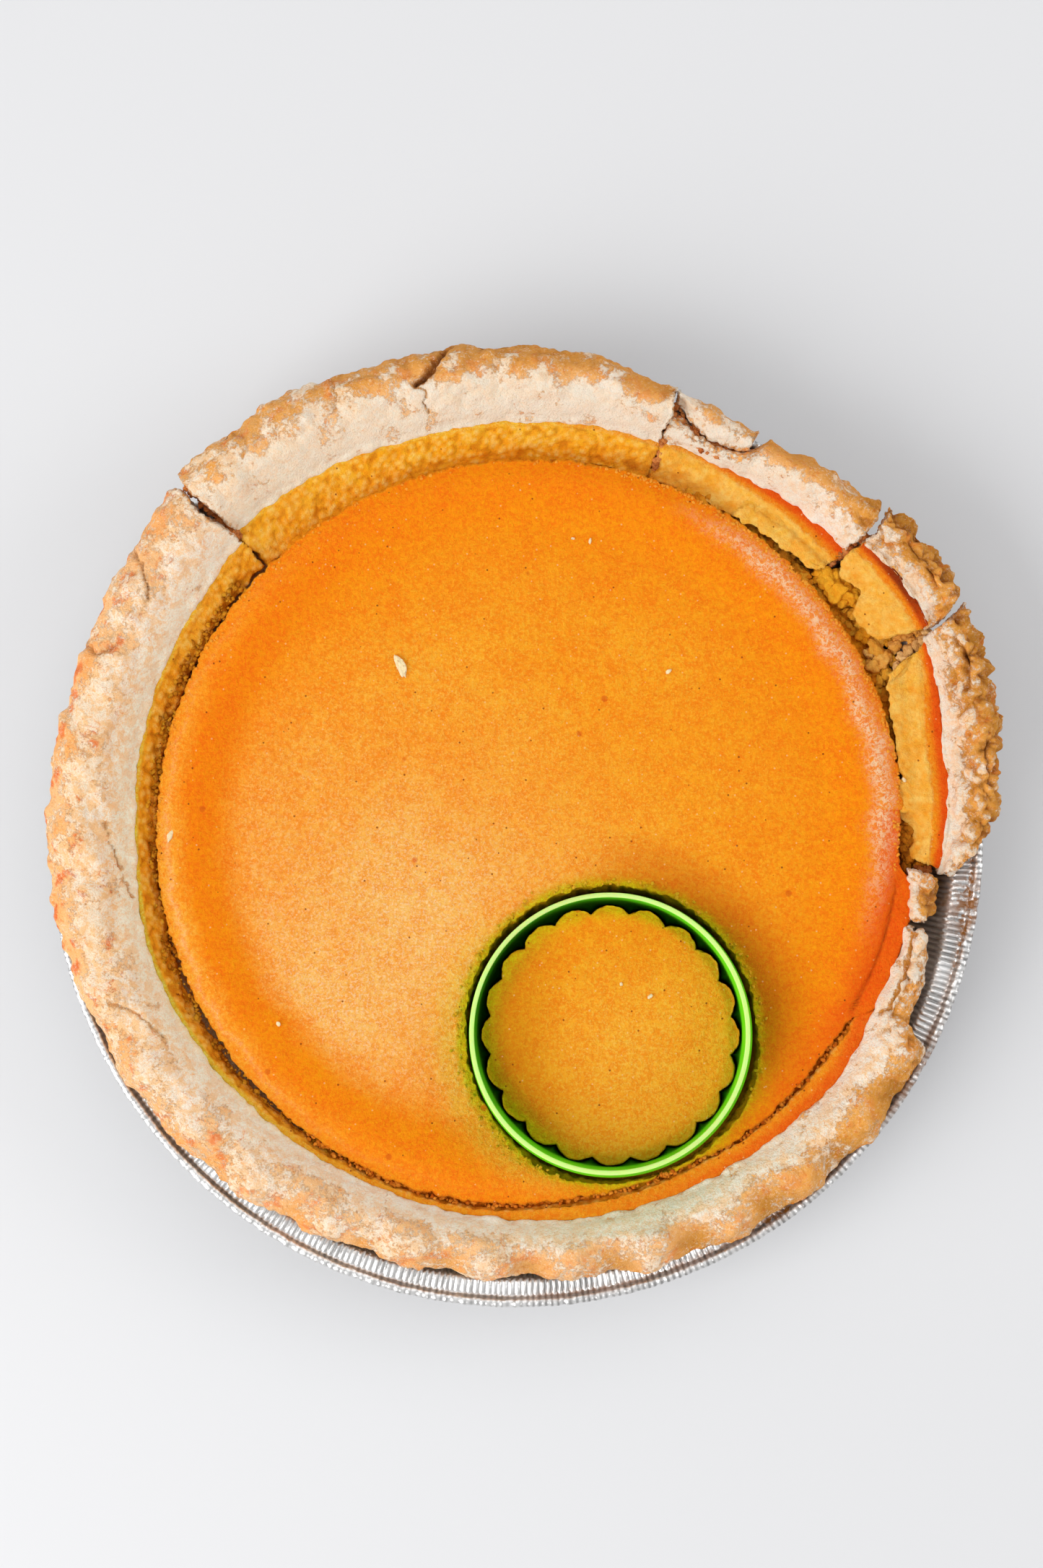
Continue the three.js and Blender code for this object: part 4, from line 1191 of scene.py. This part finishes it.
def dress_filling(made):
    """Colour of the filling: baked skin on top, crumbly custard where it's torn."""
    points, across = spots(made)
    radius, angle = polar(points)
    share = radius / slab_edge(angle) + 0.014 * fractal(points, 8, 4, 106)
    is_top = ease(0.55, 0.85, across[:, 2]) * ease(25.6, 26.6, points[:, 2])
    joined = ease(0, 0.1, still_joined(angle)) * ease(27, 27.5, points[:, 2]) * (radius > 90)
    is_top = np.maximum(is_top, joined)
    cloud = fractal(points * [1, 1, 0], 34, 3, 101)
    # Painted sheen: a soft pale patch left of the middle, where the window light reflects broadly.
    sheen = bell(np.hypot(points[:, 0] + 36, points[:, 1] + 28), 0, 44) * ease(0.86, 0.74, share)
    # Painted highlight: a paler band along the puffed edge at the left.
    rim_light = ease(0.905, 0.96, share) * bell(angle, 196, 42)
    left_edge = bell(angle, 160, 38) * bell(share, 0.87, 0.06)

    # Round the cutter: how far from its middle each point lies, and how much it faces a direction.
    pressed = from_cutter(points)
    facing = np.arctan2(points[:, 1] - CUT["y"], points[:, 0] - CUT["x"])

    def toward(angle, low, high):
        return ease(low, high, np.cos(facing - math.radians(angle)))

    on_plug, beyond, from_groove = ease(36, 33, pressed), ease(36, 39, pressed), ease(33, 36, pressed)
    # stain here is how far past the groove the painted olive shade reaches, further to the right.
    stain = 5.5 + 3 * np.cos(facing) + 1.2 * noise(points, 7, 102)
    around = ease(39 + stain, 38.5, pressed) * from_groove
    to_right = toward(-30, -0.2, 0.6)
    shadowed = ease(56, 43, pressed) * beyond * toward(38, 0.3, 0.95)
    halo = bell(pressed, 42, 4.5) * beyond * toward(195, 0.3, 0.9)
    crumbled = ease(41.5, 38.6, pressed + 0.8 * noise(points, 2.5, 103)) * from_groove
    fluted = ease(28.8, 33.2, pressed + 0.9 * noise(points, 4, 104)) * ease(35, 33, pressed)
    inner = bell(np.hypot(points[:, 0] - CUT["x"] - 3, points[:, 1] - CUT["y"] + 6), 0, 24) * on_plug
    shaded_side = ease(-8, -26, points[:, 0] - CUT["x"])

    baked = paint(
        color(255, 148, 0),
        (color(255, 168, 28), np.clip(ease(0.92, 0.45, share) * (0.8 + 0.3 * cloud), 0, 1)),
        (color(255, 198, 106), np.clip(sheen * (0.85 + 0.3 * cloud), 0, 0.95)),
        (color(255, 128, 0), ease(0.82, 0.95, share) * 0.3 + 0.5 * left_edge),
        (color(255, 172, 44), 0.9 * rim_light),
        (color(248, 88, 6), ease(0.9, 0.99, share) * bell(angle, 340, 26) * 0.75),
        (color(248, 158, 4), ease(37, 34, pressed)),
        # Painted light and shade on the round inside the cutter: lighter toward the lower right and in its
        # middle, darker on its left, which the cutter's rim shades.
        (color(255, 176, 30), 0.9 * to_right * on_plug),
        (color(255, 176, 44), inner),
        (color(222, 142, 4), on_plug * shaded_side * 0.7),
        # Painted shade with a green cast from the plastic: olive on the left edge of the round, olive yellow
        # on the filling round the groove.
        (color(176, 146, 0), 0.55 * toward(185, 0.2, 0.9) * on_plug * ease(26, 31, pressed)),
        (color(222, 166, 0), around * 0.8),
        # A painted shadow of the cutter on the filling to its upper right, and a painted lighter halo on its
        # left, the side toward the window light.
        (color(218, 120, 0), 0.75 * shadowed),
        (color(255, 200, 60), 0.5 * halo),
        # Painted green cast from the plastic: yellow-green on the crumbled filling by the ring and on the
        # round's flutes, less to the lower right.
        (color(218, 192, 4), np.clip(crumbled + fluted * (1 - 0.8 * to_right), 0, 1) * 0.9),
        (color(196, 74, 4), hairline(points, radius, angle) * 0.75),
    )
    crumb = lumps(points, 1.9, 91)
    top_side, below = bell(angle, 100, 60), ease(238, 255, angle)
    # Painted light and shade on the torn filling: lighter on crumb tops and on the well-lit torn faces at the
    # top, darker between crumbs and from 238° on, where the crack runs below the cutter, olive by the cutter
    # as its painted green shade.
    torn = paint(
        color(238, 140, 14),
        (color(246, 172, 34), np.clip(crumb * 0.6 + 0.3 * top_side, 0, 1)),
        (color(196, 98, 10), below * 0.8),
        (color(196, 100, 6), ease(0.5, 0.15, crumb) * 0.6),
        (color(186, 146, 6), ease(46, 39, pressed) * 0.6),
    )
    store(made, "tint", mix(torn, baked, is_top[:, None]))
    store(made, "skin", is_top)
    # A painted highlight as well as coat gloss: a streak on the puffed rim at the right and a thin line
    # inside the left edge, where the window light reflects.
    signed = (angle + 180) % 360 - 180
    wander = 0.012 * noise(points, 16, 105)
    streak = bell(share, 0.952 + wander, 0.026) * ease(-24, 2, signed) * ease(66, 44, signed)
    left_line = bell(share, 0.968, 0.009) * bell(angle, 195, 38)
    store(made, "gloss", np.clip(streak + 0.3 * left_line, 0, 1) * is_top)


# Runs of torn filling that stayed on the crust. Each has its two ends, the run of its torn edge, the
# width of baked skin left on it, the height that it rests on, how far its torn side drops and its lift.
EDGES = {
    "filling_edge_left": dict(
        rim="crust_shell",
        start=[(0, 137.4), (0.5, 136.9), (1, 136.9)],
        end=[(0, 332.6), (1, 333.6)],
        torn=[(137, 94.5), (150, 94.8), (165, 96), (180, 97), (190, 98.6), (200, 100.3), (215, 102.4),
              (240, 103.7), (252, 104.5), (260, 104.8), (268, 104.4), (276, 103.7), (286, 103.4),
              (294, 103.4), (304, 103.7), (312, 103.2), (319, 102.2), (326, 102.1), (331, 101.4)],
        skin=[(137, 0.4), (190, 0.5), (230, 1), (262, 1.2), (276, 2.8), (290, 3.6), (320, 4.6),
              (331, 3.4)],
        seat=[(137, 23.2), (190, 23.2), (205, 24), (235, 24.8), (250, 24.9), (290, 24.4), (310, 23.2)],
        drop=3.2, lift=0),
    "filling_edge_top": dict(
        rim="crust_top",
        start=[(0, 70), (1, 69.8)],
        end=[(0, 136.7), (1, 136.3)],
        torn=[(70, 93.4), (90, 92.9), (110, 92.7), (125, 93.2), (137, 94.2)],
        skin=[(70, 1), (90, 0.8), (120, 0.4)],
        seat=[(70, 23.2), (136, 23.2)],
        drop=4.6, lift=0),
    "filling_edge_upper_right": dict(
        rim="crust_upper_right",
        start=[(0, 39.4), (0.5, 38.9), (1, 38.8)],
        end=[(0, 69.6), (1, 69.2)],
        torn=[(39, 98.6), (50, 95.6), (60, 94), (70, 93.4)],
        skin=[(39, 3.8), (46, 3.6), (55, 2.2), (62, 0.9), (69, 0.4)],
        seat=[(39, 23.2), (69, 23.2)],
        drop=4.4, lift=0.4),
    "filling_edge_chip": dict(
        rim="crust_chip",
        start=[(0, 25.6), (0.4, 24.8), (1, 24.5)],
        end=[(0, 36.8), (0.3, 38), (1, 38)],
        torn=[(25, 102.4), (28, 100.6), (31, 100), (33, 104.5), (35, 104.4), (37.6, 103.2)],
        skin=[(25, 2.4), (31, 3.4), (37, 3)],
        seat=[(25, 28.75), (37, 28.75)],
        drop=3.4, lift=4.6),
    "filling_edge_right": dict(
        rim="crust_right",
        start=[(0, -7.2), (1, -8.2)],
        end=[(0, 20.2), (0.5, 21.6), (1, 22.7)],
        torn=[(-8, 102.8), (-3, 102.2), (-1, 98.9), (5, 98.6), (10, 99.2), (17, 99.7), (20, 101.4)],
        skin=[(-8, 2.6), (0, 3.4), (8, 4), (14, 3.6), (18, 2.4)],
        seat=[(-8, 25), (17, 25)],
        drop=3.4, lift=1.4),
}

MEETS = 0.8  # how far the filling's edge runs into the crust, so that no gap shows between them


def make_edge(name, run, spacing):
    border = through(RIMS[run["rim"]]["inner"])
    torn_edge, skin_width, bottom = through(run["torn"]), through(run["skin"]), through(run["seat"])
    level, drop = FILLING_TOP + run["lift"], run["drop"]

    def section(angle):
        outer = border(angle) + MEETS
        place = round_the_pie(angle)
        ragged = 0.35 * fractal(place, 4, 3, 111) + 0.3 * (lumps(place, 2.2, 112) - 0.5)
        ragged = ragged * (1 + 1.3 * ease(75, 60, angle))
        inward = 0.4 + 0.6 * ease(140, 134, angle)
        foot = np.minimum(torn_edge(angle) - inward + np.clip(ragged, -0.9, 1.1), outer - 1.5)
        skin_edge = np.maximum(border(angle) - skin_width(angle), foot + 0.5)
        base = np.maximum(bottom(angle), over_pan(outer, angle))
        knee = np.maximum(26, base + 0.4)
        under = 0.5 * ease(328, 333, angle)

        def back(z):
            return outer - SLOPE * np.maximum(0, 26 - z)

        def slope(share, deep):
            return mix(skin_edge, foot, share), np.maximum(level - drop * deep, base + 0.8)

        face = [slope(1, 1), slope(0.85, 0.8), slope(0.7, 0.62), slope(0.5, 0.36),
                (mix(skin_edge, foot, 0.3), level - drop * 0.16 - under),
                (mix(skin_edge, foot, 0.12), level + 0.02 - under),
                (skin_edge, level + 0.15 - under), (mix(skin_edge, outer, 0.5), level + 0.3 - under),
                (outer, level + 0.05 - under)]
        inner_back = mix(foot, back(base), 0.45)
        behind = [(foot + 0.4, base), (mix(foot + 0.4, inner_back, 0.5), base), (inner_back, base),
                  (mix(inner_back, back(base), 0.5), base), (back(base), base),
                  (back((base + knee) / 2), (base + knee) / 2), (outer, knee),
                  (outer, mix(knee, level, 0.3)), (outer, mix(knee, level, 0.5))]
        return face, behind

    fine = spacing * COARSER
    us, ss, ws = steps(arc(run, 102), fine), steps(13, fine * 0.8), steps(4, fine)
    points, quads, _ = bent(us, ss, ws, run["start"], run["end"], section, seed=len(name), jag=0.3)
    made = mesh(name + "_fine", points, quads, PUMPKIN, "filling")

    points, across = spots(made)
    radius, angle = polar(points)
    angle = across_zero(angle)
    skin_start = border(angle) - skin_width(angle)
    frayed = radius - skin_start + 0.5 * fractal(points, 2.6, 3, 126) * ease(66, 50, angle)
    on_skin = ease(-0.5, 0.35, frayed) * ease(0.3, 0.6, across[:, 2])
    crumb, coarse = lumps(points, 1.7, 121), lumps(points, 3.6, 122)
    side, above = bell(angle, 190, 50), bell(angle, 100, 40)
    broad = ease(75, 60, angle)
    coarseness = 0.5 + 0.45 * side + 0.25 * above - 0.15 * broad
    relief = coarseness * (0.8 * (crumb - 0.5) + 0.9 * (coarse - 0.5)) * (1 - on_skin)
    relief += 0.3 * fractal(points, 9, 2, 124) * (1 - on_skin)
    relief += (0.08 + 0.12 * broad) * fractal(points, 2, 3, 123)
    hold = ease(0.1, 1.0, border(angle) + MEETS - radius)
    relief *= mix(0.15, 1, hold) * ease(bottom(angle), bottom(angle) + 1.2, points[:, 2])
    move(made, points + across * relief[:, None])

    depth = ease(level - 0.6, level - drop - 0.5, points[:, 2])
    # Painted light and shade on the torn faces: lighter at the top, with painted highlights on crumb tops and
    # on the crests of the right-hand pieces; darker on the left side, deep down on the left and between
    # crumbs; a more saturated orange deep down elsewhere, to offset its shade.
    torn = paint(
        color(255, 176, 36),
        (color(255, 200, 76), np.clip(0.3 + 0.6 * fractal(points, 6, 3, 125), 0, 0.9)),
        (color(252, 182, 22), above * 0.7),
        (color(238, 156, 18), side * 0.85),
        (color(228, 132, 24), ease(240, 262, angle) * 0.8),
        (color(250, 140, 4), depth * 0.35 * (1 - side)),
        (color(255, 218, 124), ease(0.65, 0.95, crumb) * (0.45 + 0.2 * above)),
        (color(196, 108, 4), ease(0.5, 0.15, crumb) * (0.5 - 0.35 * broad)),
        (color(255, 204, 104), broad * np.clip(0.5 + 0.5 * fractal(points, 2.4, 4, 127), 0.2, 0.9)),
        (color(180, 100, 8), side * depth * 0.35),
    )
    inward = np.clip((radius - skin_start) / (skin_width(angle) + 0.01), 0, 1)
    # A darker brown-red band across the middle of the chip's skin.
    chip_dark_band = bell(angle, 31, 5.5) * (name == "filling_edge_chip")
    near_join = ease(318, 331, angle)
    stripe = ease(mix(0.15, -0.2, near_join), mix(0.75, 0.2, near_join), inward)
    striped = np.clip(ease(68, 50, angle) + 0.75 * ease(275, 312, angle), 0, 1)
    skin = paint(
        color(250, 152, 22),
        (color(252, 172, 56), ease(52, 70, angle) * ease(240, 200, angle)),
        (color(246, 96, 8), stripe * striped),
        (color(250, 190, 54), ease(72, 92, angle) * ease(240, 200, angle)),
        (color(228, 200, 60), bell(angle, 205, 36) * 0.9),
        (color(126, 48, 8), chip_dark_band * ease(0.35, 0.75, inward) * 0.9),
    )
    store(made, "tint", mix(torn, skin, on_skin[:, None]))
    store(made, "skin", on_skin)
    store(made, "gloss", 0 * on_skin)
    return made


# ---- loose bits of crust ----------------------------------------------------------------------

# Each has the runs of its inner and outer edge, its two ends, and its section as (share across, height).
# The face rises and falls with a slow wave of (height, pace, shift), and size is the rough length, width
# and thickness. ends, whole and hollow say how torn the two ends, the whole piece and its inner side are.
LOOSE = {
    "crust_flake": dict(
        inner=[(57, 110.9), (60, 108), (63.5, 107.3), (66.5, 109), (69, 112.3)],
        outer=[(57, 115.5), (60, 114.7), (65, 115.2), (69.6, 115.5)],
        start=[(0, 58.4), (1, 58.4)], end=[(0, 69.3), (1, 69.8)],
        face=[(0, 31.5), (0.1, 34.3), (0.45, 36), (0.8, 34.6), (1, 31.2)],
        back=[(0.04, 30.4), (0.3, 28.95), (0.6, 28.95), (0.85, 28.95), (0.98, 29.6)],
        wave=(0.5, 0.5, 4), size=(23, 14, 5), spacing=0.5, seed=7, lid=39.0,
        edge=4, width=12.5, ends=1.0, whole=0, hollow=1),
    "crust_scrap": dict(
        inner=SCRAP_INNER,
        outer=[(343.8, 108), (345.5, 109.8), (348, 110.6), (350, 109.4), (351, 107)],
        start=[(0, 343.9), (1, 344.3)], end=[(0, 350.9), (1, 350.5)],
        face=[(0, 27), (0.1, 30.4), (0.5, 32.4), (0.85, 30.2), (1, 27.6)],
        back=[(0.05, 23.2), (0.35, 23), (0.6, 23.6), (0.85, 25), (0.97, 26.4)],
        wave=(0.7, 1, 3), size=(13, 13, 7), spacing=0.45, seed=9, lid=36.0,
        edge=3, width=11, ends=0.9, whole=0.25, hollow=0),
}


def make_loose(name, bit):
    inner, outer = through(bit["inner"]), through(bit["outer"])
    tall, slow, shift = bit["wave"]

    def section(angle):
        lift = tall * np.sin(angle * slow * 1.7 + shift)
        last = len(bit["face"]) - 1
        face = [(mix(inner(angle), outer(angle), share), z + lift * (0 < k < last))
                for k, (share, z) in enumerate(bit["face"])]
        back = [(mix(inner(angle), outer(angle), share), z) for share, z in bit["back"]]
        return face, back

    us, ss, ws = (steps(length, bit["spacing"] * COARSER) for length in bit["size"])
    points, quads, at = bent(us, ss, ws, bit["start"], bit["end"], section, bit["seed"])
    made = mesh(name + "_fine", points, quads, PASTRY, "crust")
    made["lid"] = bit["lid"]

    def torn(radius, angle):
        on_end = (at["u"] == 0) | (at["u"] == 1)
        hollow = bit["hollow"] * ease(0.22, 0.08, at["s"])
        return np.clip(on_end * bit["ends"] + bit["whole"] + hollow, 0, 1)

    dress_pastry(made, lambda angle: inner(angle) - bit["edge"], lambda angle: bit["width"], torn)
    return made


# ---- crumbs -----------------------------------------------------------------------------------

def ball(detail):
    """An evenly divided ball of radius 1."""
    shape = bmesh.new()
    bmesh.ops.create_icosphere(shape, subdivisions=detail, radius=1)
    points = np.array([v.co[:] for v in shape.verts])
    faces = np.array([[v.index for v in f.verts] for f in shape.faces])
    shape.free()
    return points, faces


def make_bits(name, places, look, slot, rough, smooth=True):
    """Loose bits, each (x, y, z, size, squash, colour): lumpy balls pressed flat and turned about."""
    balls = {detail: ball(detail) for detail in (2, 3, 4)}
    points, faces, tints = [], [], []
    count = 0
    for k, (x, y, z, size, squash, tone) in enumerate(places):
        unit, tris = balls[2 if size < 1 else 3 if size < 2 else 4]
        turn = 2.4 * k + 0.4
        lumpy = unit * (1 + rough * fractal(unit + 7.7 * k, 0.9, 2, 131))[:, None] * [1, squash, 0.62]
        c, s = math.cos(turn), math.sin(turn)
        across, along = lumpy[:, 0] * c - lumpy[:, 1] * s, lumpy[:, 0] * s + lumpy[:, 1] * c
        spun = np.column_stack([across, along, lumpy[:, 2]])
        points.append(spun * size + [x, y, z + size * 0.3])
        faces.append(tris + count)
        count += len(unit)
        tints.append(np.tile(tone, (len(unit), 1)))
    made = mesh(name, np.concatenate(points), np.concatenate(faces), look, slot, smooth)
    tints = np.concatenate(tints)
    store(made, "tint", tints)
    store(made, "ground", tints * color(226, 190, 140))
    store(made, "bare", np.full(len(tints), -0.4))
    store(made, "toast", np.full(len(tints), 0.2))
    store(made, "skin", np.zeros(len(tints)))
    store(made, "gloss", np.zeros(len(tints)))
    return made


def photo_place(px, py, height):
    """Place in the frame of a pixel of the photograph, at a height."""
    scale = (CAMERA_HEIGHT - height) / FOCAL
    right, down = px - PHOTO_SIZE[0] // 2, py - PHOTO_SIZE[1] // 2
    return right * scale + CAMERA_OVER[0], -down * scale + CAMERA_OVER[1]


def skin_height(x, y):
    return float(slab_top(np.array([[x, y, 0.0]]))[0])


def scatter_crumbs():
    """Crumbs on the filling: pale ones of pastry, custard round the cutter and along the torn edge."""
    draw = np.random.default_rng(23)
    pastry_bits, filling_bits = [], []
    large = ((555, 923, 1.05, 2.7), (237, 1158, 0.7, 2.2), (386, 1418, 0.7, 0.8), (817, 749, 0.8, 0.5),
             (926, 930, 0.8, 0.6), (793, 746, 0.5, 0.6), (1251, 1080, 0.7, 0.6), (860, 1363, 0.5, 0.7),
             (900, 1380, 0.8, 0.6))
    for px, py, size, squash in large:
        x, y = photo_place(px, py, 28)
        pastry_bits.append((x, y, skin_height(x, y), size, squash, color(255, 236, 190)))
    for _ in range(220):
        about = math.radians(draw.uniform(0, 360))
        away = 38.9 + abs(draw.normal(0, 1.1))
        x, y = CUT["x"] + away * math.cos(about), CUT["y"] + away * math.sin(about)
        if math.hypot(x - PIE[0], y - PIE[1]) > 96:
            continue
        # Their tones reach down to the olive yellow-green that is painted round the cutter as shade with a
        # green cast from the plastic.
        tone = mix(color(206, 178, 20), color(246, 190, 50), draw.uniform(0, 1))
        filling_bits.append((x, y, skin_height(x, y), draw.uniform(0.2, 0.55), 0.8, tone))
    for _ in range(420):
        about = draw.uniform(5, 200) if draw.random() < 0.4 else draw.uniform(-10, 75) % 360
        x, y, _ = on_pie(slab_edge(about) - abs(draw.normal(0, 0.7)) - 0.3, about)
        filling_bits.append((x, y, skin_height(x, y), draw.uniform(0.15, 0.5), 0.8, color(255, 172, 60)))
    return pastry_bits, filling_bits


# Lumps seen one by one, as (x, y, size) with x and y in pixels of the photograph.
PALE_LUMPS = ((1212, 892, 2.6), (1222, 912, 2.4), (1208, 922, 1.8), (1204, 906, 1.6), (1236, 898, 1.4))
WARM_LUMPS = ((1198, 878, 2.2), (1190, 864, 1.8), (1228, 932, 1.8), (1218, 944, 1.4), (1236, 914, 1.4),
              (1226, 886, 1.8), (1206, 866, 1.8), (1222, 870, 1.4), (1240, 880, 1.4), (1182, 850, 1.8),
              (1198, 850, 1.6), (1214, 852, 1.3))
UPPER_LUMPS = ((1136, 797, 2.2), (1148, 806, 3.0), (1161, 800, 2.4), (1164, 815, 3.2), (1178, 812, 2.8),
               (1180, 828, 2.8), (1190, 838, 2.0), (1150, 820, 1.8), (1168, 832, 2.0))
BROWN_BITS = ((1246, 884, 1.6), (1256, 878, 1.7), (1266, 872, 1.6), (1276, 866, 1.6), (1285, 860, 1.5),
              (1240, 894, 1.6), (1262, 886, 1.2), (1272, 879, 1.1), (1282, 872, 1.2), (1252, 868, 1.5))
SANDY_BITS = ((1250, 912, 1.7), (1258, 903, 1.8), (1268, 894, 1.9), (1277, 887, 1.9), (1286, 879, 1.8),
              (1243, 924, 1.5))

# Bits in the cracks between runs of crust: angle, radii and heights at the two ends, and how many.
CRACKS = ((136.6, 103, 121, 28, 34, 70), (69.5, 95, 112, 26, 32, 40), (38.8, 101, 114, 26, 31, 50),
          (-1.5, 104.5, 109, 26, 28, 14), (-8.8, 103, 108, 25.5, 27, 16))


def rubble():
    """Broken lumps in the gaps: filling on the ledge, and bits of crust fallen into it."""
    draw = np.random.default_rng(29)
    filling, crust = [], []

    def between(low, high, least=0, most=1):
        return mix(low, high, draw.uniform(least, most))

    def bit(radius, angle, z, size, squash, tone):
        x, y, _ = on_pie(radius, angle)
        return x, y, z, size, squash, tone

    torn_edge = through(EDGES["filling_edge_left"]["torn"])
    for _ in range(560):
        about = draw.uniform(142, 252)
        place = draw.uniform(0, 1)
        r = mix(slab_edge(about), torn_edge(about) + 2.5, place)
        tone = between(color(176, 104, 12), color(240, 176, 44))
        filling.append(bit(r, about, 25.3 + 1.4 * place, draw.uniform(0.25, 0.8), draw.uniform(0.6, 1), tone))
    for _ in range(260):
        about = draw.uniform(6, 66)
        out = draw.uniform(0.2, 5.8) if about < 40 else draw.uniform(0, 2.4)
        size = draw.uniform(0.5, 1.7)
        z = 24.6 + (draw.uniform(-0.4, 0.9) - 0.28 * out)
        tone = between(color(226, 138, 20), color(246, 186, 60))
        filling.append(bit(slab_edge(about) + out, about, z, size, draw.uniform(0.6, 1), tone))
    for px, py, size in PALE_LUMPS:
        squash = draw.uniform(0.7, 1)
        tone = between(color(250, 196, 110), color(236, 166, 60))
        filling.append((*photo_place(px, py, 25), 25.2, size, squash, tone))
    for px, py, size in WARM_LUMPS:
        tone = between(color(232, 156, 28), color(250, 192, 70))
        filling.append((*photo_place(px, py, 25), 25, size, 0.9, tone))
    for _ in range(110):
        about = draw.uniform(-9.5, -0.5)
        r = slab_edge(about) + draw.uniform(0.4, 5)
        tone = between(color(150, 88, 12), color(222, 146, 34))
        filling.append(bit(r, about, draw.uniform(23, 25.2), draw.uniform(0.7, 1.6), 0.9, tone))
    for _ in range(460):
        about = draw.uniform(236, 333)
        r = slab_edge(about) + draw.uniform(-0.2, 1.3)
        tone = between(color(206, 104, 14), color(250, 160, 54))
        filling.append(bit(r, about, draw.uniform(26.5, 27.9), draw.uniform(0.25, 0.7), 0.9, tone))
    snapped_edge = through(RIMS["crust_upper_right"]["outer"])
    for _ in range(170):
        about = draw.uniform(57.6, 69)
        place = draw.uniform(-3.2, 1.4)
        tone = between(color(244, 152, 76), color(196, 98, 34))
        z = 30.4 - 0.35 * place
        crust.append(bit(snapped_edge(about) + place, about, z, draw.uniform(0.4, 0.9), 0.9, tone))
    for about, near, far, low, high, count in CRACKS:
        for _ in range(count):
            r = draw.uniform(near, far)
            angle = about + draw.uniform(-0.3, 0.3)
            z = mix(low, high, (r - near) / (far - near))
            tone = between(color(226, 132, 58), color(168, 88, 30))
            crust.append(bit(r, angle, z, draw.uniform(0.5, 1.0), 0.9, tone))
    for px, py, size in UPPER_LUMPS:
        filling.append((*photo_place(px, py, 26), 25.4, size, 0.85, color(246, 178, 44)))
    for bits, z, pale, most in ((BROWN_BITS, 27.4, GOLDEN, 0.9), (SANDY_BITS, 27.2, SANDY, 0.7)):
        for px, py, size in bits:
            squash = draw.uniform(0.7, 1)
            crust.append((*photo_place(px, py, 28), z, size, squash, between(pale, OLIVE, 0.1, most)))
    return filling, crust


# ---- put the pie together ---------------------------------------------------------------------

keep(make_pan(), "foil_pan")

shell = make_rim("crust_shell", RIMS["crust_shell"], 0.62)
dish = make_dish()
keep(shell, "crust_shell")
keep(dish, "crust_shell")
for rim_name in ("crust_top", "crust_upper_right", "crust_chip", "crust_right"):
    keep(make_rim(rim_name, RIMS[rim_name], 0.5), rim_name)
for bit_name, bit_run in LOOSE.items():
    keep(make_loose(bit_name, bit_run), bit_name)

slab = make_slab()
dress_filling(slab)
keep(slab, "filling_slab")
plug = make_round()
dress_filling(plug)
keep(plug, "filling_round")
for edge_name, edge_run in EDGES.items():
    keep(make_edge(edge_name, edge_run, 0.6), edge_name)

keep(make_cutter(), "cutter")
pastry_bits, filling_bits = scatter_crumbs()
keep(make_bits("crumbs_pastry", pastry_bits, PASTRY, "crust", 0.5, False))
rubble_filling, rubble_crust = rubble()
keep(make_bits("rubble_filling", rubble_filling, PUMPKIN, "filling", 0.6))
keep(make_bits("rubble_crust", rubble_crust, PASTRY, "crust", 0.6))
keep(make_bits("crumbs_filling", filling_bits, PUMPKIN, "filling", 0.5, False))


# ---- floor, light and camera ------------------------------------------------------------------

def floor():
    data = bpy.data.meshes.new("floor")
    reach = 6
    data.from_pydata([(-reach, -reach, 0), (reach, -reach, 0), (reach, reach, 0), (-reach, reach, 0)], [],
                     [(0, 1, 2, 3)])
    made = bpy.data.objects.new("floor", data)
    bpy.context.scene.collection.objects.link(made)
    n = Nodes("floor")
    n.finish(Base_Color=color(215, 215, 216), Roughness=0.6)
    data.materials.append(n.material)


def light(name, place, size, watts):
    """A square light, with its place and size in metres, which shines on the middle of the pan."""
    lamp = bpy.data.lights.new(name, "AREA")
    lamp.shape = "RECTANGLE"
    lamp.size = lamp.size_y = size
    lamp.energy = watts
    made = bpy.data.objects.new(name, lamp)
    bpy.context.scene.collection.objects.link(made)
    made.location = place
    made.rotation_euler = (-Vector(place)).to_track_quat("-Z", "Y").to_euler()


floor()
light("window", (-1.1, -0.6, 0.9), 1.2, 19.5)
light("glow", (1.5, 0.25, 0.75), 0.9, 7)
light("sky", (0.3, 0.9, 1.5), 1.4, 5)

world = bpy.context.scene.world or bpy.data.worlds.new("world")
bpy.context.scene.world = world
world.use_nodes = True
world.node_tree.nodes["Background"].inputs[0].default_value = (0.98, 0.985, 1.0, 1)
world.node_tree.nodes["Background"].inputs[1].default_value = 0.62
bpy.context.scene.view_settings.view_transform = "Standard"

eye = bpy.data.cameras.new("camera")
eye.sensor_fit = "VERTICAL"
eye.sensor_height = SENSOR
eye.lens = LENS
camera = bpy.data.objects.new("camera", eye)
bpy.context.scene.collection.objects.link(camera)
camera.location = (CAMERA_OVER[0] * MM, CAMERA_OVER[1] * MM, CAMERA_HEIGHT * MM)
bpy.context.scene.camera = camera
